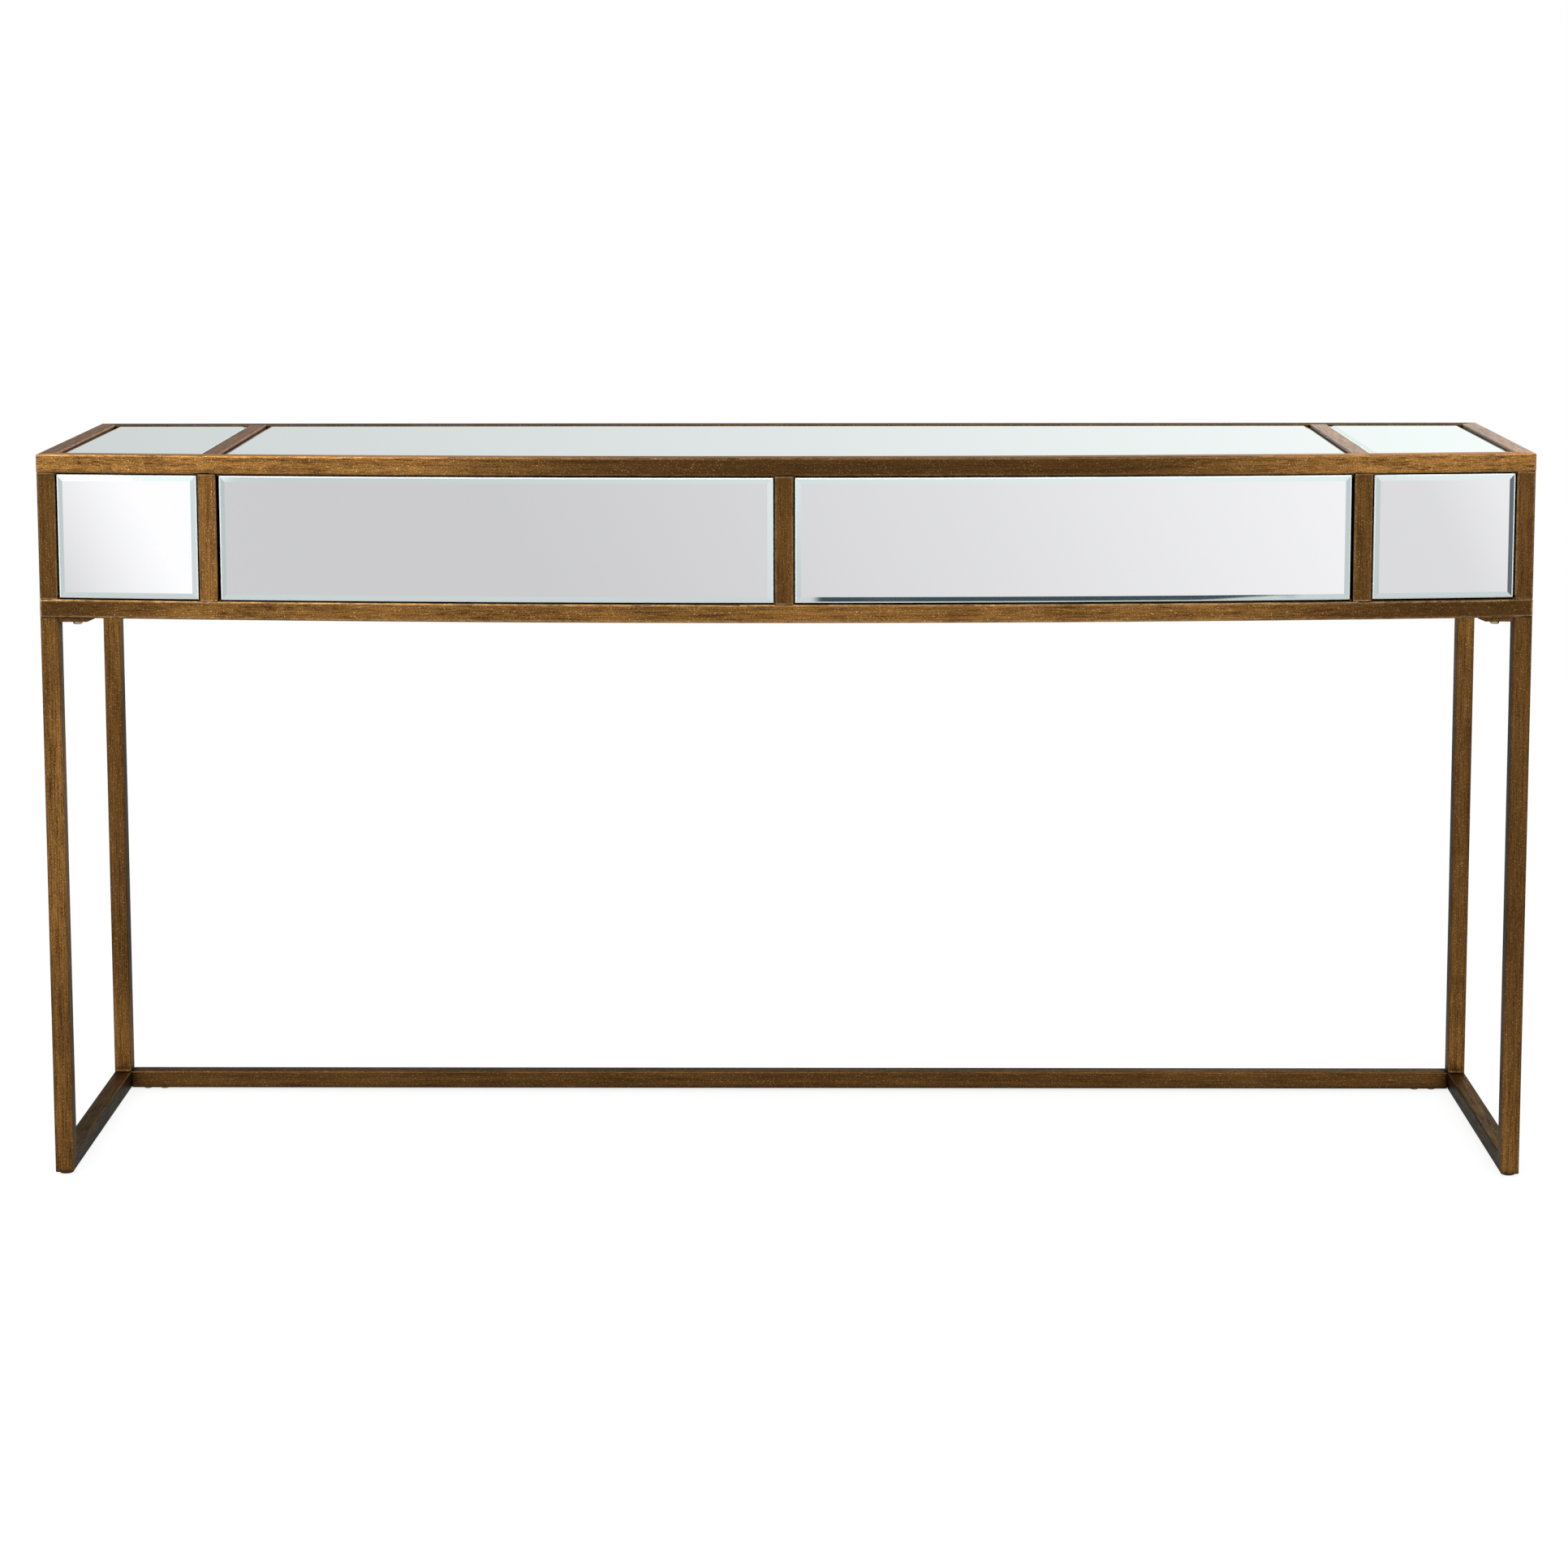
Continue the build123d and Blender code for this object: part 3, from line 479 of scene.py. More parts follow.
# %% Colours of the brass
dark_bronze, rubbed_gold = (0.055, 0.025, 0.0078, 1.0), (0.60, 0.282, 0.070, 1.0)
# The grime colour darkens inner corners and gaps: partly grime, partly painted shade.
bare_speck, grime_and_shade = (0.95, 0.62, 0.25, 1.0), (0.010, 0.007, 0.005, 1.0)
# The last edge colour is painted shade: a dark line along the edges of the legs and the low and back tubes.
bright_edge, worn_edge, shaded_edge = (0.80, 0.52, 0.26, 1.0), (0.36, 0.21, 0.09, 1.0), (0.040, 0.026, 0.018, 1.0)
# The first rim tint is a painted highlight for the right side. The last is painted shade for the low and back
# tubes.
highlit_rim, warm_rim, shaded_rim = (0.98, 0.93, 0.93, 1.0), (0.80, 0.64, 0.60, 1.0), (0.28, 0.40, 0.47, 1.0)
print("bronze", dark_bronze[:3], "gold", rubbed_gold[:3])

# %% [markdown]
# One function makes every brass. Streak, patch and grit masks each push the tone up and down by their own
# weight. Bright specks and rubbed edges are laid over it, and grime in the corners, which is partly painted
# shade, since ambient occlusion finds those corners. On the legs and the low and back tubes the edges are a
# painted dark line of shade instead. The rim colour tints what is seen at a low angle: warm on the case,
# paler on its right side as a painted highlight, and a dull blue grey on the legs, the low rails and the
# rails at the back as painted shade.

# %% Finish: antique brass
def antique_brass(
    name, stretch, axis, middle, fade_from, fade_to, tone_middle, tone_ends, rim=warm_rim, edge=bright_edge
):
    """Brass with its own streak direction, and its own tones in the middle and at the ends."""
    streak_weight, band_weight, patch_weight, grit_weight = 1.1, 0.66, 0.35, 1.0
    finish, tree, shader, place = start_finish(name)
    streak = use_group(tree, streaks, Place=place, Stretch=stretch)
    patch = use_group(tree, patches, Place=place)
    wear_and_shade = use_group(tree, wear, Place=place)
    ends = use_group(tree, along, Place=place, Axis=axis, Middle=middle, Start=fade_from, End=fade_to)["Ends"]
    tone = fade(tree, ends, 0.0, 1.0, tone_middle, tone_ends)
    varied = 1.0
    for mask, weight in (
        (patch["Grit"], grit_weight),
        (streak["Fine"], streak_weight),
        (streak["Broad"], band_weight),
        (patch["Patches"], patch_weight),
    ):
        push = maths(tree, "MULTIPLY", maths(tree, "SUBTRACT", mask, 0.5), weight)
        varied = maths(tree, "ADD", varied, push)
    gold = maths(tree, "MULTIPLY", tone, varied, clamp=True)
    specks = maths(tree, "MULTIPLY", patch["Specks"], maths(tree, "ADD", gold, 0.15), clamp=True)
    metal = mix(tree, gold, dark_bronze, rubbed_gold)
    metal = mix(tree, specks, metal, bare_speck)
    # Rubbed edges: the edge colour is wear, and on the low and back tubes it is a painted dark line of shade.
    metal = mix(tree, maths(tree, "MULTIPLY", wear_and_shade["Edges"], 0.75), metal, edge)
    # Grime in the corners: partly real grime, partly painted shade where ambient occlusion finds the tube shaded.
    metal = mix(tree, maths(tree, "MULTIPLY", wear_and_shade["Corners"], 0.9), metal, grime_and_shade)
    wire(tree, metal, shader.inputs["Base Color"])
    shader.inputs["Metallic"].default_value = 1.0
    # The rim tint paints light on some tubes: a highlight on the right side, shade on the low and back tubes.
    shader.inputs["Specular Tint"].default_value = rim
    dull = fade(tree, streak["Fine"], 0.0, 1.0, 0.46, 0.32)
    polished = maths(tree, "MULTIPLY", wear_and_shade["Edges"], 0.16)
    wire(tree, maths(tree, "SUBTRACT", dull, polished), shader.inputs["Roughness"])
    raise_surface(tree, shader, 0.35, 0.0002, maths(tree, "ADD", streak["Fine"], patch["Specks"]))
    return finish


print("brass can be made from groups", [group.name for group in (streaks, patches, wear, along)])

# %% [markdown]
# The maker's tones differ from tube to tube, so each kind of tube gets its own brass. The middle is a
# place in metres along the tube's axis. The tone holds up to the first distance from there, and fades to
# the tone of the ends at the second one. A tone of 0 is all dark bronze and 1 is all gold.

# %% Make the brass of each kind of tube
across, lengthwise = 1000.0, 26.0  # noise cells to a metre, across the streaks and along them
rail = ((lengthwise, across, across), (1.0, 0.0, 0.0))
side_rail = ((across, lengthwise, across), (0.0, 1.0, 0.0))
post = ((across, across, lengthwise), (0.0, 0.0, 1.0))
# Painted shade for the legs, the low rails and the rails at the back: a dark blue grey rim and dark edges.
shaded_tubes = (shaded_rim, shaded_edge)
brass_top_rail = antique_brass("antique_brass_top_rail", *rail, 0.09, 0.15, 0.62, 0.06, 0.48, edge=worn_edge)
brass_bottom_rail = antique_brass("antique_brass_bottom_rail", *rail, -0.06, 0.45, 0.74, 0.33, 0.07)
brass_stretcher = antique_brass("antique_brass_stretcher", *rail, 0.0, 0.1, 0.7, 0.10, 0.13, *shaded_tubes)
brass_left_stile = antique_brass("antique_brass_left_stile", *post, 0.67, 0.02, 0.08, 0.36, 0.30)
brass_posts = antique_brass("antique_brass_posts", *post, 0.67, 0.02, 0.08, 0.16, 0.12)
brass_left_leg = antique_brass("antique_brass_left_leg", *post, 0.36, 0.05, 0.20, 0.41, 0.24, *shaded_tubes)
brass_right_leg = antique_brass("antique_brass_right_leg", *post, 0.42, 0.1, 0.36, 0.155, 0.24, *shaded_tubes)
brass_back_legs = antique_brass("antique_brass_back_legs", *post, 0.30, 0.08, 0.32, 0.175, 0.37, *shaded_tubes)
brass_left_side = antique_brass("antique_brass_left_side", *side_rail, 0.0, 0.05, 0.2, 0.12, 0.16)
# The right side's paler rim is a painted highlight of the light from the back right.
brass_right_side = antique_brass("antique_brass_right_side", *side_rail, 0.0, 0.05, 0.2, 0.22, 0.28, highlit_rim)
brass_low_rails = antique_brass("antique_brass_low_rails", *side_rail, 0.0, 0.05, 0.2, 0.14, 0.18, *shaded_tubes)
print("brass for the low rails and the welds:", brass_low_rails.name)

# %% Put the brass on the frame
brass_nodes = {
    brass_top_rail: ["case_front_top_rail"],
    brass_bottom_rail: ["case_front_bottom_rail"],
    brass_stretcher: ["floor_stretcher", "stretcher_tongues", "case_back_top_rail", "case_back_bottom_rail"],
    brass_left_stile: ["left_stile"],
    brass_posts: ["left_front_post", "right_front_post", "right_stile", "centre_stile", "back_posts"],
    brass_left_leg: ["left_front_leg"],
    brass_right_leg: ["right_front_leg"],
    brass_back_legs: ["left_back_leg", "right_back_leg"],
    brass_left_side: ["left_top_end_rail", "left_cross_rail", "left_bottom_end_rail"],
    brass_right_side: ["right_top_end_rail", "right_cross_rail", "right_bottom_end_rail"],
    brass_low_rails: ["left_floor_rail", "right_floor_rail", "leg_tabs", "support_tabs"],
}


def put_on(finish, names):
    """Gives CAD parts a finish in their first material slot."""
    for name in names:
        nodes[name].material_slots[0].material = finish
    return len(names)


print("parts in brass:", sum(put_on(finish, names) for finish, names in brass_nodes.items()))

# %% [markdown]
# Glass gathers a faint haze of dust and wiping marks. It hardly shows face on, but it softens the
# reflection a little, in arcs as the cloth went. This group puts out that haze, and mirrors, black
# board and plywood all use it in their roughness.

# %% Group: wiped haze
haze, given, out = start_group(
    "wiped_haze",
    [("Place", "Vector", (0, 0, 0)), ("Scale", "Float", 6.0)],
    [("Haze", "Float"), ("Dust", "Float")],
)
swirl = noise(haze, given["Place"], 3.0, 2.0)
swirled = add(haze, "ShaderNodeCombineXYZ", {0: swirl, 2: swirl}).outputs[0]
squeezed = vector_maths(haze, "MULTIPLY", given["Place"], (1.0, 1.0, 3.0))
swept = vector_maths(haze, "ADD", squeezed, swirled)
wire(haze, fade(haze, noise(haze, swept, given["Scale"], 5.0), 0.42, 0.72), out["Haze"])
wire(haze, fade(haze, noise(haze, given["Place"], 2600.0, 1.0), 0.70, 0.78), out["Dust"])
print("group", haze.name)

# %% [markdown]
# A mirror is a sheet of glass with silver behind it and a sloping bevel ground round its edge. It could be
# made of real glass over silver, but light that crosses glass twice needs many more samples and the
# difference hardly shows. One opaque plate with a finish for each zone is enough: silver for the field,
# slightly green silver for the bevel, pale satin glass for the narrow ground edge, and black sealing
# paint for the back and the rim.

# %% Finishes: mirror
dust_grey = (0.72, 0.72, 0.70, 1.0)


def mirror_finish(name, colour, metallic, low, high, haze_scale=6.0):
    """A finish whose roughness goes from low to high with the wiped haze."""
    finish, tree, shader, place = start_finish(name)
    marks = use_group(tree, haze, Place=place, Scale=haze_scale)
    film = maths(tree, "MULTIPLY", marks["Dust"], 0.25, clamp=True)
    wire(tree, mix(tree, film, colour, dust_grey), shader.inputs["Base Color"])
    shader.inputs["Metallic"].default_value = metallic
    marked = maths(tree, "ADD", marks["Haze"], marks["Dust"])
    wire(tree, fade(tree, marked, 0.0, 1.0, low, high), shader.inputs["Roughness"])
    raise_surface(tree, shader, 0.1, 0.00002, marks["Dust"])
    return finish


silver_field = mirror_finish("mirror_field", (0.93, 0.93, 0.945, 1.0), 1.0, 0.008, 0.035)
silver_bevel = mirror_finish("mirror_bevel", (0.80, 0.885, 0.885, 1.0), 1.0, 0.015, 0.05)
ground_edge = mirror_finish("mirror_ground_edge", (0.86, 0.94, 0.93, 1.0), 0.0, 0.25, 0.5, 40.0)
mirror_paint = mirror_finish("mirror_sealing_paint", (0.012, 0.012, 0.013, 1.0), 0.0, 0.5, 0.7, 30.0)
print("mirror finishes:", [m.name for m in (silver_field, silver_bevel, ground_edge, mirror_paint)])

# %% [markdown]
# The plates themselves are rebuilt finer than the CAD has them. Each is a grid of columns and rows: near
# the rim the rows step down, first gently for the bevel and then steeply for the narrow ground edge.
# A modifier could cut the bevels, but the exact widths matter here, so the grid is written out. In a
# corner both slopes meet in a mitre, and there the cell is split along its diagonal.

# %% Build a bevelled plate
edge_steps = [(0.0, 0.0019), (0.0013, 0.0010), (0.006, 0.0)]  # in from the rim, down from the face
bevel_width = edge_steps[-1][0]
innermost = len(edge_steps) - 1
plate_thickness = 0.004
plate_finishes = (silver_field, silver_bevel, ground_edge, mirror_paint)
field_index, bevel_index, ground_index, paint_index = range(len(plate_finishes))


def spread(low, high, pitch):
    """Places from low to high about pitch apart, and the edge steps' places at both ends."""
    inner_low, inner_high = low + bevel_width, high - bevel_width
    count = round((inner_high - inner_low) / pitch)
    middle = [(inner_low + (inner_high - inner_low) * i / count, innermost) for i in range(count + 1)]
    first = [(low + inward, level) for level, (inward, _) in enumerate(edge_steps[:-1])]
    last = [(high - inward, level) for level, (inward, _) in enumerate(edge_steps[:-1])]
    return first + middle + last[::-1]


def sharpen(mesh):
    """Keeps an edge crisp where its two faces differ by more than two degrees."""
    normals = {}
    for polygon in mesh.polygons:
        for key in polygon.edge_keys:
            normals.setdefault(key, []).append(polygon.normal)
    for edge in mesh.edges:
        pair = normals[edge.key]
        edge.use_edge_sharp = len(pair) == 2 and pair[0].angle(pair[1]) > math.radians(2.0)


def bevelled_plate(name, columns, rows, lay_out, body):
    """A plate whose grid places come from lay_out(column, row, depth)."""
    wide, high = len(columns), len(rows)
    points, faces, finish_of = [], [], []
    for u, level_u in columns:
        for v, level_v in rows:
            points.append(lay_out(u, v, edge_steps[min(level_u, level_v)][1]))
    for u, _ in columns:
        for v, _ in rows:
            points.append(lay_out(u, v, plate_thickness))
    back = wide * high
    for i in range(wide - 1):
        for j in range(high - 1):
            a, b, c, d = i * high + j, (i + 1) * high + j, (i + 1) * high + j + 1, i * high + j + 1
            levels_u, levels_v = (columns[i][1], columns[i + 1][1]), (rows[j][1], rows[j + 1][1])
            zone = min(max(levels_u), max(levels_v), min(levels_u) + 1, min(levels_v) + 1)
            field = min(levels_u) == min(levels_v) == innermost
            finish = field_index if field else (bevel_index if zone == innermost else ground_index)
            mitred = levels_u[0] != levels_u[1] and levels_v[0] != levels_v[1] and min(levels_u) == min(levels_v)
            if not mitred:
                cell = [(a, b, c, d)]
            elif (levels_u[0] < levels_u[1]) == (levels_v[0] < levels_v[1]):
                cell = [(a, b, c), (a, c, d)]
            else:
                cell = [(a, b, d), (b, c, d)]
            faces += cell + [(back + d, back + c, back + b, back + a)]
            finish_of += [finish] * len(cell) + [paint_index]
    for i in range(wide - 1):
        for j in (0, high - 1):
            a, b = i * high + j, (i + 1) * high + j
            faces.append((a, back + a, back + b, b) if j == 0 else (b, back + b, back + a, a))
            finish_of.append(paint_index)
    for j in range(high - 1):
        for i in (0, wide - 1):
            a, d = i * high + j, i * high + j + 1
            faces.append((d, back + d, back + a, a) if i == 0 else (a, back + a, back + d, d))
            finish_of.append(paint_index)
    mesh = bpy.data.meshes.new(name)
    mesh.from_pydata(points, [], faces)
    for finish in plate_finishes:
        mesh.materials.append(finish)
    mesh.polygons.foreach_set("material_index", finish_of)
    mesh.polygons.foreach_set("use_smooth", [True] * len(faces))
    mesh.update()
    sharpen(mesh)
    mesh.validate()
    plate = bpy.data.objects.new(name, mesh)
    bpy.context.scene.collection.objects.link(plate)
    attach(plate, body)
    return plate


print("edge of a plate steps down", 1000 * edge_steps[0][1], "mm in", 1000 * bevel_width, "mm")

# %% [markdown]
# Nine plates use that grid: four on the bow, two at the ends and three on top. The front ones bend, so
# their columns are close together and every point is placed on the arc. A coarse arc would show in the
# reflections as kinks.

# %% Make the bowed mirrors of the front
bow_pitch, top_pitch, end_pitch, row_pitch = 0.008, 0.02, 0.05, 0.06  # sizes of the grid's cells


def front_plate(node, body):
    """A mirror on the bow, in the place of its CAD part."""
    low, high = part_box(node)
    near = min(abs(low.x), abs(high.x))
    inset = bow_radius - math.hypot(near, bow_centre - low.y)
    plate = bevelled_plate(
        node + "_glass",
        spread(low.x, high.x, bow_pitch),
        spread(low.z, high.z, row_pitch),
        lambda x, z, depth: (x, bow_y(x, inset + depth), z),
        body,
    )
    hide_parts(node)
    return plate


for side in ("left", "right"):
    drawer_plate = front_plate(side + "_drawer_mirror", side + "_drawer")
    fixed_plate = front_plate(side + "_front_mirror", "table")
    print([(plate.name, len(plate.data.polygons)) for plate in (drawer_plate, fixed_plate)], "faces")

# %% [markdown]
# The end mirrors are flat. The top mirrors are flat too, but their front edge follows the bow, so each
# column of the grid starts at its own place on the arc, and the bevel keeps its width along the curve.

# %% Make the flat mirrors of the ends and the top
def end_plate(node, outward):
    """A flat mirror at one end of the case. outward is -1 for the left end and 1 for the right."""
    low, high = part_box(node)
    face_x = low.x if outward < 0 else high.x
    plate = bevelled_plate(
        node + "_glass",
        spread(low.y, high.y, end_pitch),
        spread(low.z, high.z, row_pitch),
        lambda y, z, depth: (face_x - outward * depth, y if outward > 0 else low.y + high.y - y, z),
        "table",
    )
    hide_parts(node)
    return plate


def top_plate(node):
    """A flat mirror of the top, with its front edge on the bow."""
    low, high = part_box(node)
    near = 0.0 if low.x < 0 < high.x else min(abs(low.x), abs(high.x))
    inset = bow_radius - math.hypot(near, bow_centre - low.y)
    depth_at = high.y - low.y

    def lay_out(x, row, depth):
        front = bow_y(x, inset + min(row, bevel_width))
        share = max(0.0, row - bevel_width) / (depth_at - bevel_width)
        return (x, front + share * (high.y - front), high.z - depth)

    columns, rows = spread(low.x, high.x, top_pitch), spread(0.0, depth_at, row_pitch)
    plate = bevelled_plate(node + "_glass", columns, rows, lay_out, "table")
    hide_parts(node)
    return plate


flat_plates = [end_plate("left_end_mirror", -1), end_plate("right_end_mirror", 1)]
flat_plates += [top_plate("top_mirror_" + bay) for bay in ("left", "centre", "right")]
print("flat plates:", [p.name for p in flat_plates])

# %% [markdown]
# Where two tubes meet, the welder leaves a small fillet in the corner and grinds it smooth, so the inner
# corners of every opening are slightly round. A fillet is a three-sided prism with one hollow side: two
# straight sides lie on the tubes and an arc joins them. One mesh holds them all, as one weld run would.

# %% Lay the weld fillets
weld_radius, weld_steps = 0.0034, 6
case_weld, foot_weld = (0.0012, 0.0170), (0.0014, 0.0176)  # where a fillet starts and ends, in from the face
weld_points, weld_faces = [], []


def weld(corner, first, second, near, far):
    """A fillet at a corner between two directions. near and far give the shifts of its two end faces."""
    outline = [Vector(corner)]
    for i in range(weld_steps + 1):
        turn = math.radians(90 * i / weld_steps)
        a, b = 1 - math.sin(turn), 1 - math.cos(turn)
        outline.append(Vector(corner) + weld_radius * (a * Vector(first) + b * Vector(second)))
    start, count = len(weld_points), len(outline)
    weld_points.extend([tuple(p + near(p)) for p in outline] + [tuple(p + far(p)) for p in outline])
    ends_face = list(range(start, start + count))
    weld_faces.append(ends_face)
    weld_faces.append([i + count for i in reversed(ends_face)])
    for i in range(count):
        a, b = start + i, start + (i + 1) % count
        weld_faces.append([a, a + count, b + count, b])


def openings(names):
    """The x of both sides of each opening between tubes that stand side by side."""
    sides = sorted({round(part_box(name)[i].x, 6) for name in names for i in (0, 1)})
    return list(zip(sides[1:-1:2], sides[2::2]))


uprights = ("left_front_post", "left_stile", "centre_stile", "right_stile", "right_front_post")
opening_low, opening_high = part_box("case_front_bottom_rail")[1].z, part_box("case_front_top_rail")[0].z
for low_x, high_x in openings(uprights):
    for x, across in ((low_x, 1), (high_x, -1)):
        for z, rise in ((opening_low, 1), (opening_high, -1)):
            weld(
                (x, 0, z), (across, 0, 0), (0, 0, rise),
                lambda p: Vector((0, bow_y(p.x, case_weld[0]), 0)),
                lambda p: Vector((0, bow_y(p.x, case_weld[1]), 0)),
            )
print(len(weld_faces), "faces of weld in the front")

# %% Weld the top, the ends and the feet
top_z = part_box("case_front_top_rail")[1].z
tube = top_z - opening_high
inner_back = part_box("case_back_top_rail")[0].y
for low_x, high_x in openings(("left_top_end_rail", "left_cross_rail", "right_cross_rail", "right_top_end_rail")):
    for x, across in ((low_x, 1), (high_x, -1)):
        for y, backward in ((inner_back, -1), (bow_y(x, tube), 1)):
            weld(
                (x, y, top_z), (across, 0, 0), (0, backward, 0),
                lambda p: Vector((0, 0, -case_weld[0])), lambda p: Vector((0, 0, -case_weld[1])),
            )
for side, outward in (("left", -1), ("right", 1)):
    foot_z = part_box(side + "_floor_rail")[1].z
    leg_x = outward * half_width
    for node, backward in ((side + "_front_leg", 1), (side + "_back_leg", -1)):
        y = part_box(node)[1].y if backward > 0 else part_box(node)[0].y
        weld(
            (leg_x, y, foot_z), (0, backward, 0), (0, 0, 1),
            lambda p: Vector((-outward * foot_weld[0], 0, 0)), lambda p: Vector((-outward * foot_weld[1], 0, 0)),
        )
weld_mesh = bpy.data.meshes.new("weld_fillets")
weld_mesh.from_pydata(weld_points, [], weld_faces)
tidy = bmesh.new()
tidy.from_mesh(weld_mesh)
bmesh.ops.recalc_face_normals(tidy, faces=tidy.faces)
tidy.to_mesh(weld_mesh)
tidy.free()
weld_fillets = bpy.data.objects.new("weld_fillets", weld_mesh)
bpy.context.scene.collection.objects.link(weld_fillets)
weld_mesh.materials.append(brass_low_rails)
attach(weld_fillets, "table")
print(len(weld_mesh.polygons), "faces of weld in all")

# %% [markdown]
# Fibreboard sealed with black lacquer shows a fine flat stipple, with the fibres just raised by the
# water in the paint, and edges rubbed back to the brown fibre. The boards behind the mirrors and the
# panels that close the case share this finish with different gloss.

# %% Finish: black board
bare_fibre = (0.13, 0.105, 0.08, 1.0)


def black_board(name, colour, low, high):
    """Lacquered fibreboard with stippled gloss."""
    finish, tree, shader, place = start_finish(name)
    marks = use_group(tree, haze, Place=place, Scale=9.0)
    wear_and_shade = use_group(tree, wear, Place=place, Radius=0.001)
    stipple = noise(tree, place, 1400.0, 2.0)
    fibres = noise(tree, vector_maths(tree, "MULTIPLY", place, (1.0, 1.0, 6.0)), 260.0, 3.0)
    lighter = tuple(c * 1.9 + 0.01 for c in colour[:3]) + (1.0,)
    coat = mix(tree, fade(tree, fibres, 0.35, 0.75), colour, lighter)
    coat = mix(tree, maths(tree, "MULTIPLY", wear_and_shade["Edges"], 0.5), coat, bare_fibre)
    wire(tree, coat, shader.inputs["Base Color"])
    gloss = blend(tree, stipple, marks["Haze"], 0.85)
    wire(tree, fade(tree, gloss, 0.2, 0.8, low, high), shader.inputs["Roughness"])
    raise_surface(tree, shader, 0.3, 0.0001, stipple)
    return finish


sealed_board = black_board("sealed_backing_board", (0.012, 0.011, 0.010, 1.0), 0.55, 0.8)
painted_board = black_board("painted_case_panel", (0.020, 0.017, 0.015, 1.0), 0.38, 0.62)
sealed = put_on(sealed_board, ["left_drawer_front", "right_drawer_front", "fixed_front_boards", "end_boards"])
sealed += put_on(sealed_board, ["top_board_left", "top_board_centre", "top_board_right", "dividers"])
painted = put_on(painted_board, ["back_panel", "bottom_panel"])
print(sealed, "parts sealed,", painted, "painted")

# %% [markdown]
# The drawers are made of pale lacquered plywood. Its face veneer has long wandering grain lines with
# small dark pores between them. Noise stretched along the board and bent by a slower noise gives the
# lines; the stretch is an input, because sides run from front to back and the rest run across.

# %% Group: wood grain
wood, given, out = start_group(
    "wood_grain",
    [("Place", "Vector", (0, 0, 0)), ("Stretch", "Vector", (1, 0.06, 1))],
    [("Grain", "Float"), ("Pores", "Float")],
)
board = vector_maths(wood, "MULTIPLY", given["Place"], given["Stretch"])
sway = noise(wood, board, 9.0, 2.0)
bent = vector_maths(wood, "ADD", board, alike(wood, maths(wood, "MULTIPLY", sway, 0.05)))
wire(wood, fade(wood, noise(wood, bent, 90.0, 4.0), 0.3, 0.7), out["Grain"])
wire(wood, fade(wood, noise(wood, board, 900.0, 2.0), 0.60, 0.70), out["Pores"])
print("group", wood.name)

# %% Finish: lacquered plywood
late_wood, early_wood, dark_pore = (0.50, 0.33, 0.17, 1.0), (0.66, 0.48, 0.28, 1.0), (0.25, 0.14, 0.06, 1.0)


def plywood(name, stretch):
    """Pale veneer under satin lacquer, with the grain along the board."""
    finish, tree, shader, place = start_finish(name)
    grain = use_group(tree, wood, Place=place, Stretch=stretch)
    marks = use_group(tree, haze, Place=place, Scale=8.0)
    veneer = mix(tree, grain["Grain"], late_wood, early_wood)
    veneer = mix(tree, maths(tree, "MULTIPLY", grain["Pores"], 0.45), veneer, dark_pore)
    wire(tree, veneer, shader.inputs["Base Color"])
    gloss = blend(tree, grain["Grain"], marks["Haze"], 0.5)
    wire(tree, fade(tree, gloss, 0.0, 1.0, 0.34, 0.52), shader.inputs["Roughness"])
    raise_surface(tree, shader, 0.25, 0.0001, maths(tree, "SUBTRACT", grain["Grain"], grain["Pores"]))
    return finish


plywood_sides = plywood("lacquered_plywood_sides", (1.0, 0.06, 1.0))
plywood_across = plywood("lacquered_plywood_across", (0.06, 1.0, 1.0))
in_plywood = 0
for side in ("left", "right"):
    in_plywood += put_on(plywood_sides, [side + "_drawer_sides"])
    in_plywood += put_on(plywood_across, [side + "_drawer_back", side + "_drawer_bottom"])
print("parts in plywood:", in_plywood)

# %% [markdown]
# Small metal parts differ from the frame. Slides are rolled steel with a bright zinc coat, which has
# fine rolling lines along its length and a cloudy bloom. Screws and nuts have a pale bronze plating,
# rubbed brighter on the edges of their heads. One function makes both from different colours.

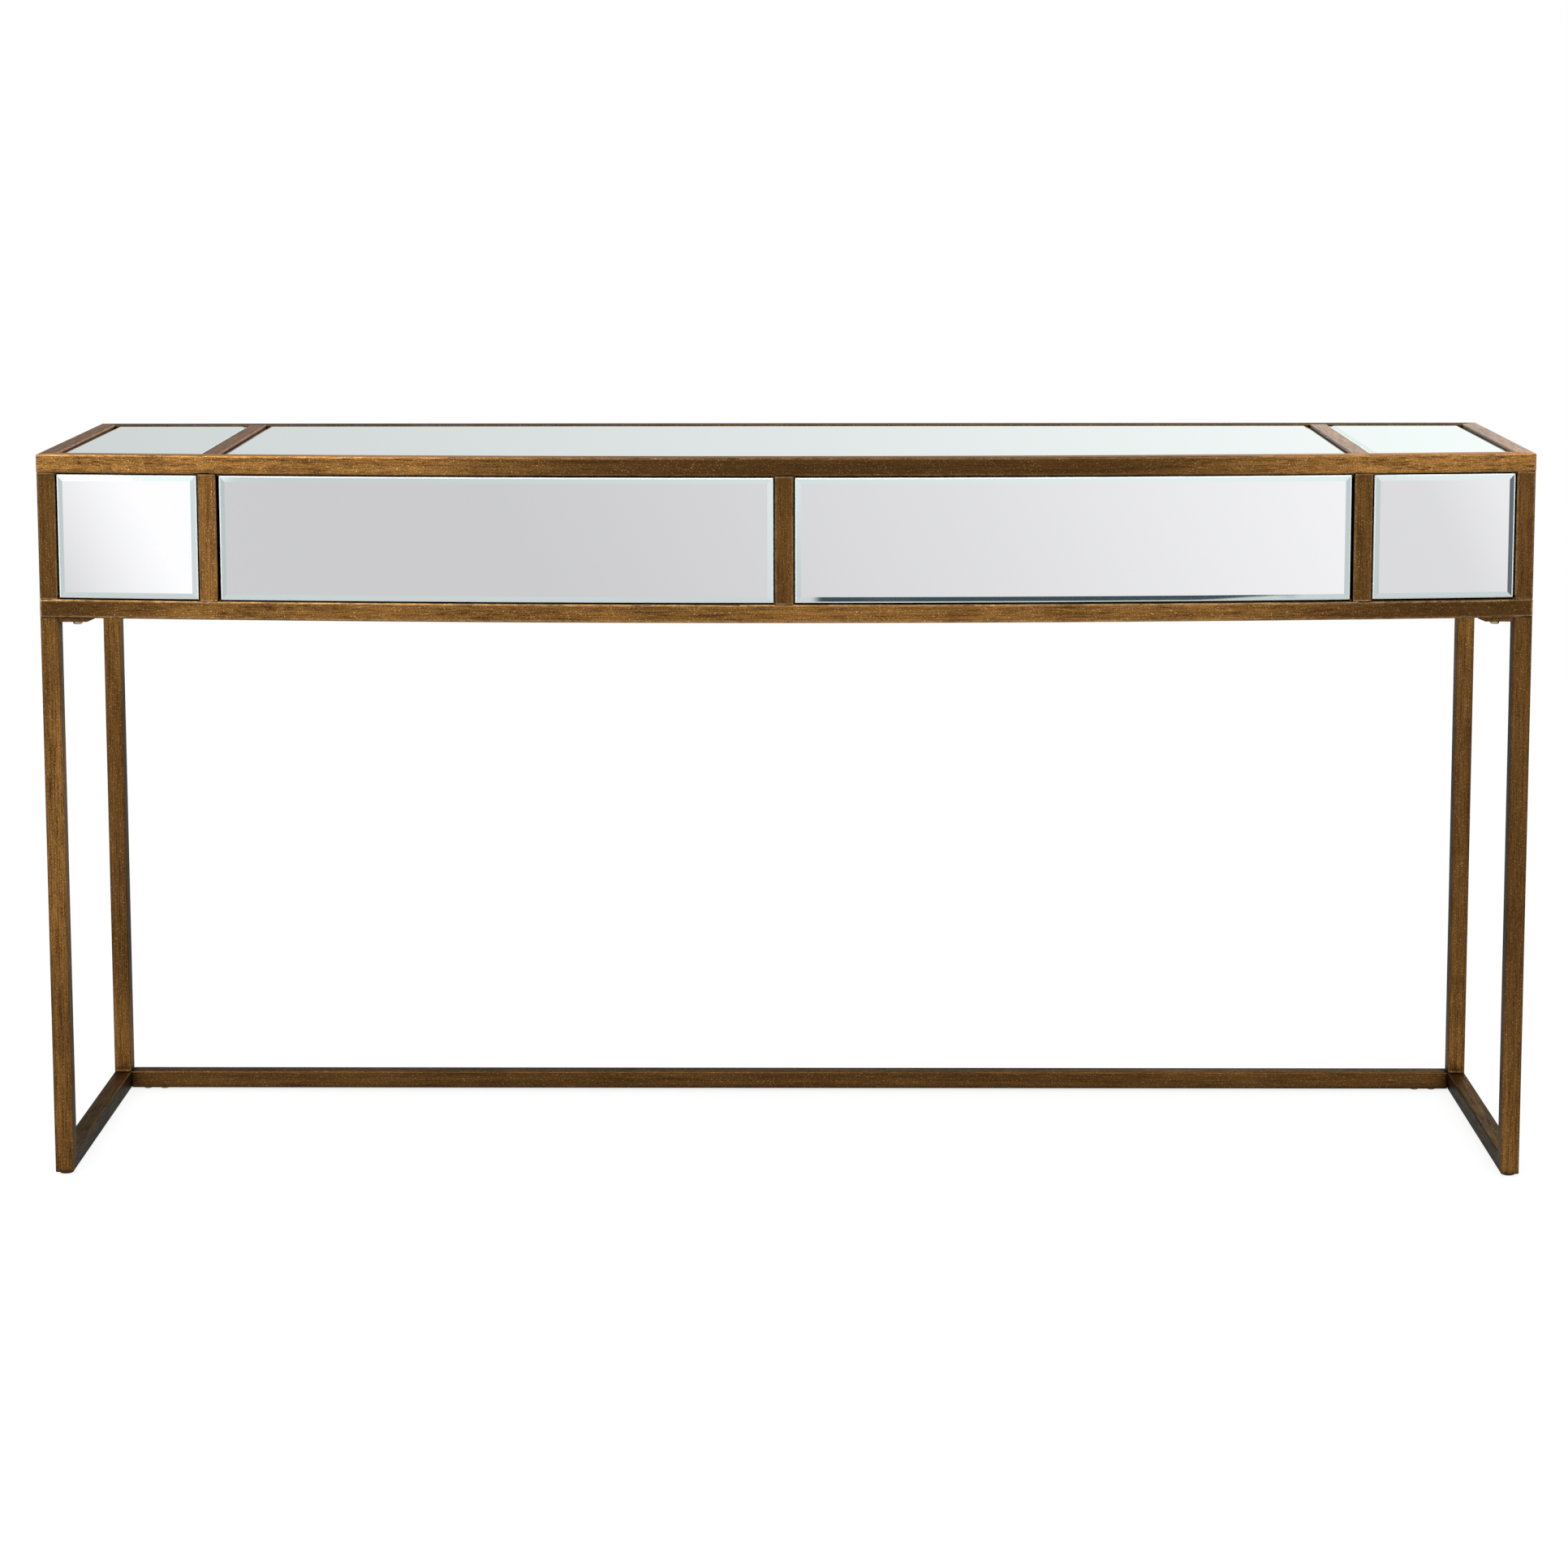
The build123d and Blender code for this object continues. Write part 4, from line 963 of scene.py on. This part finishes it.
# %% Finishes: plated steel
def plated_steel(name, stretch, dark, light, rub, low, high):
    """Plated steel with rolling lines, bloom and rubbed edges."""
    finish, tree, shader, place = start_finish(name)
    lines = use_group(tree, streaks, Place=place, Stretch=stretch)
    bloom = use_group(tree, patches, Place=place)
    wear_and_shade = use_group(tree, wear, Place=place, Radius=0.0006, Reach=0.004)
    soiled_and_shaded = tuple(c * 0.25 for c in dark[:3]) + (1.0,)
    coat = mix(tree, blend(tree, lines["Fine"], bloom["Patches"], 0.4), dark, light)
    # Corners that ambient occlusion finds shaded turn darker: partly grime, partly painted shade.
    coat = mix(tree, maths(tree, "MULTIPLY", wear_and_shade["Corners"], 0.4), coat, soiled_and_shaded)
    coat = mix(tree, maths(tree, "MULTIPLY", wear_and_shade["Edges"], 0.8), coat, rub)
    wire(tree, coat, shader.inputs["Base Color"])
    shader.inputs["Metallic"].default_value = 1.0
    wire(tree, fade(tree, lines["Broad"], 0.0, 1.0, low, high), shader.inputs["Roughness"])
    raise_surface(tree, shader, 0.2, 0.00005, lines["Fine"])
    return finish


zinc_tones = (0.42, 0.43, 0.44, 1.0), (0.66, 0.67, 0.68, 1.0), (0.85, 0.85, 0.85, 1.0)
bronze_tones = (0.38, 0.30, 0.20, 1.0), (0.70, 0.59, 0.45, 1.0), (0.92, 0.82, 0.66, 1.0)
zinc = plated_steel("zinc_plated_slide", (900.0, 14.0, 900.0), *zinc_tones, 0.26, 0.42)
bronze_screw = plated_steel("bronze_plated_screw", (500.0, 500.0, 500.0), *bronze_tones, 0.16, 0.3)
in_zinc = put_on(zinc, ["slide_cabinet_members"])
for side in ("left", "right"):
    in_zinc += put_on(zinc, [side + "_slide_middles", side + "_slide_drawer_members"])
in_bronze = put_on(bronze_screw, ["leg_screws", "leg_nuts", "stretcher_screws"])
print(in_zinc, "parts in zinc,", in_bronze, "in bronze plating")

# %% [markdown]
# The glides are black nylon buttons on the floor. Moulded nylon has a fine spark-eroded texture, and its
# face is scuffed grey where it slides. Two noises at very different sizes show both.

# %% Finish: nylon
moulded_black, scuffed_grey = (0.012, 0.012, 0.012, 1.0), (0.055, 0.055, 0.055, 1.0)
nylon, tree, shader, place = start_finish("black_nylon")
texture = noise(tree, place, 3200.0, 2.0)
scuffs = fade(tree, noise(tree, vector_maths(tree, "MULTIPLY", place, (1.0, 8.0, 1.0)), 160.0), 0.55, 0.7)
wire(tree, mix(tree, scuffs, moulded_black, scuffed_grey), shader.inputs["Base Color"])
wire(tree, fade(tree, texture, 0.3, 0.7, 0.42, 0.62), shader.inputs["Roughness"])
raise_surface(tree, shader, 0.3, 0.00004, texture)
print("parts in nylon:", put_on(nylon, ["glides"]))

# %% [markdown]
# The last step prints both boxes side by side, so that one can see whether anything has outgrown the frame.
# The picture keeps plain colours, without a film curve, so that white stays white.

# %% Finish
bpy.context.scene.view_settings.view_transform = "Standard"
bpy.context.view_layer.update()
sizes = {"cad": [list(c) for c in cad_box], "visual": [list(c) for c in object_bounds()]}
print("CAD box", sizes["cad"], "visual box", sizes["visual"])
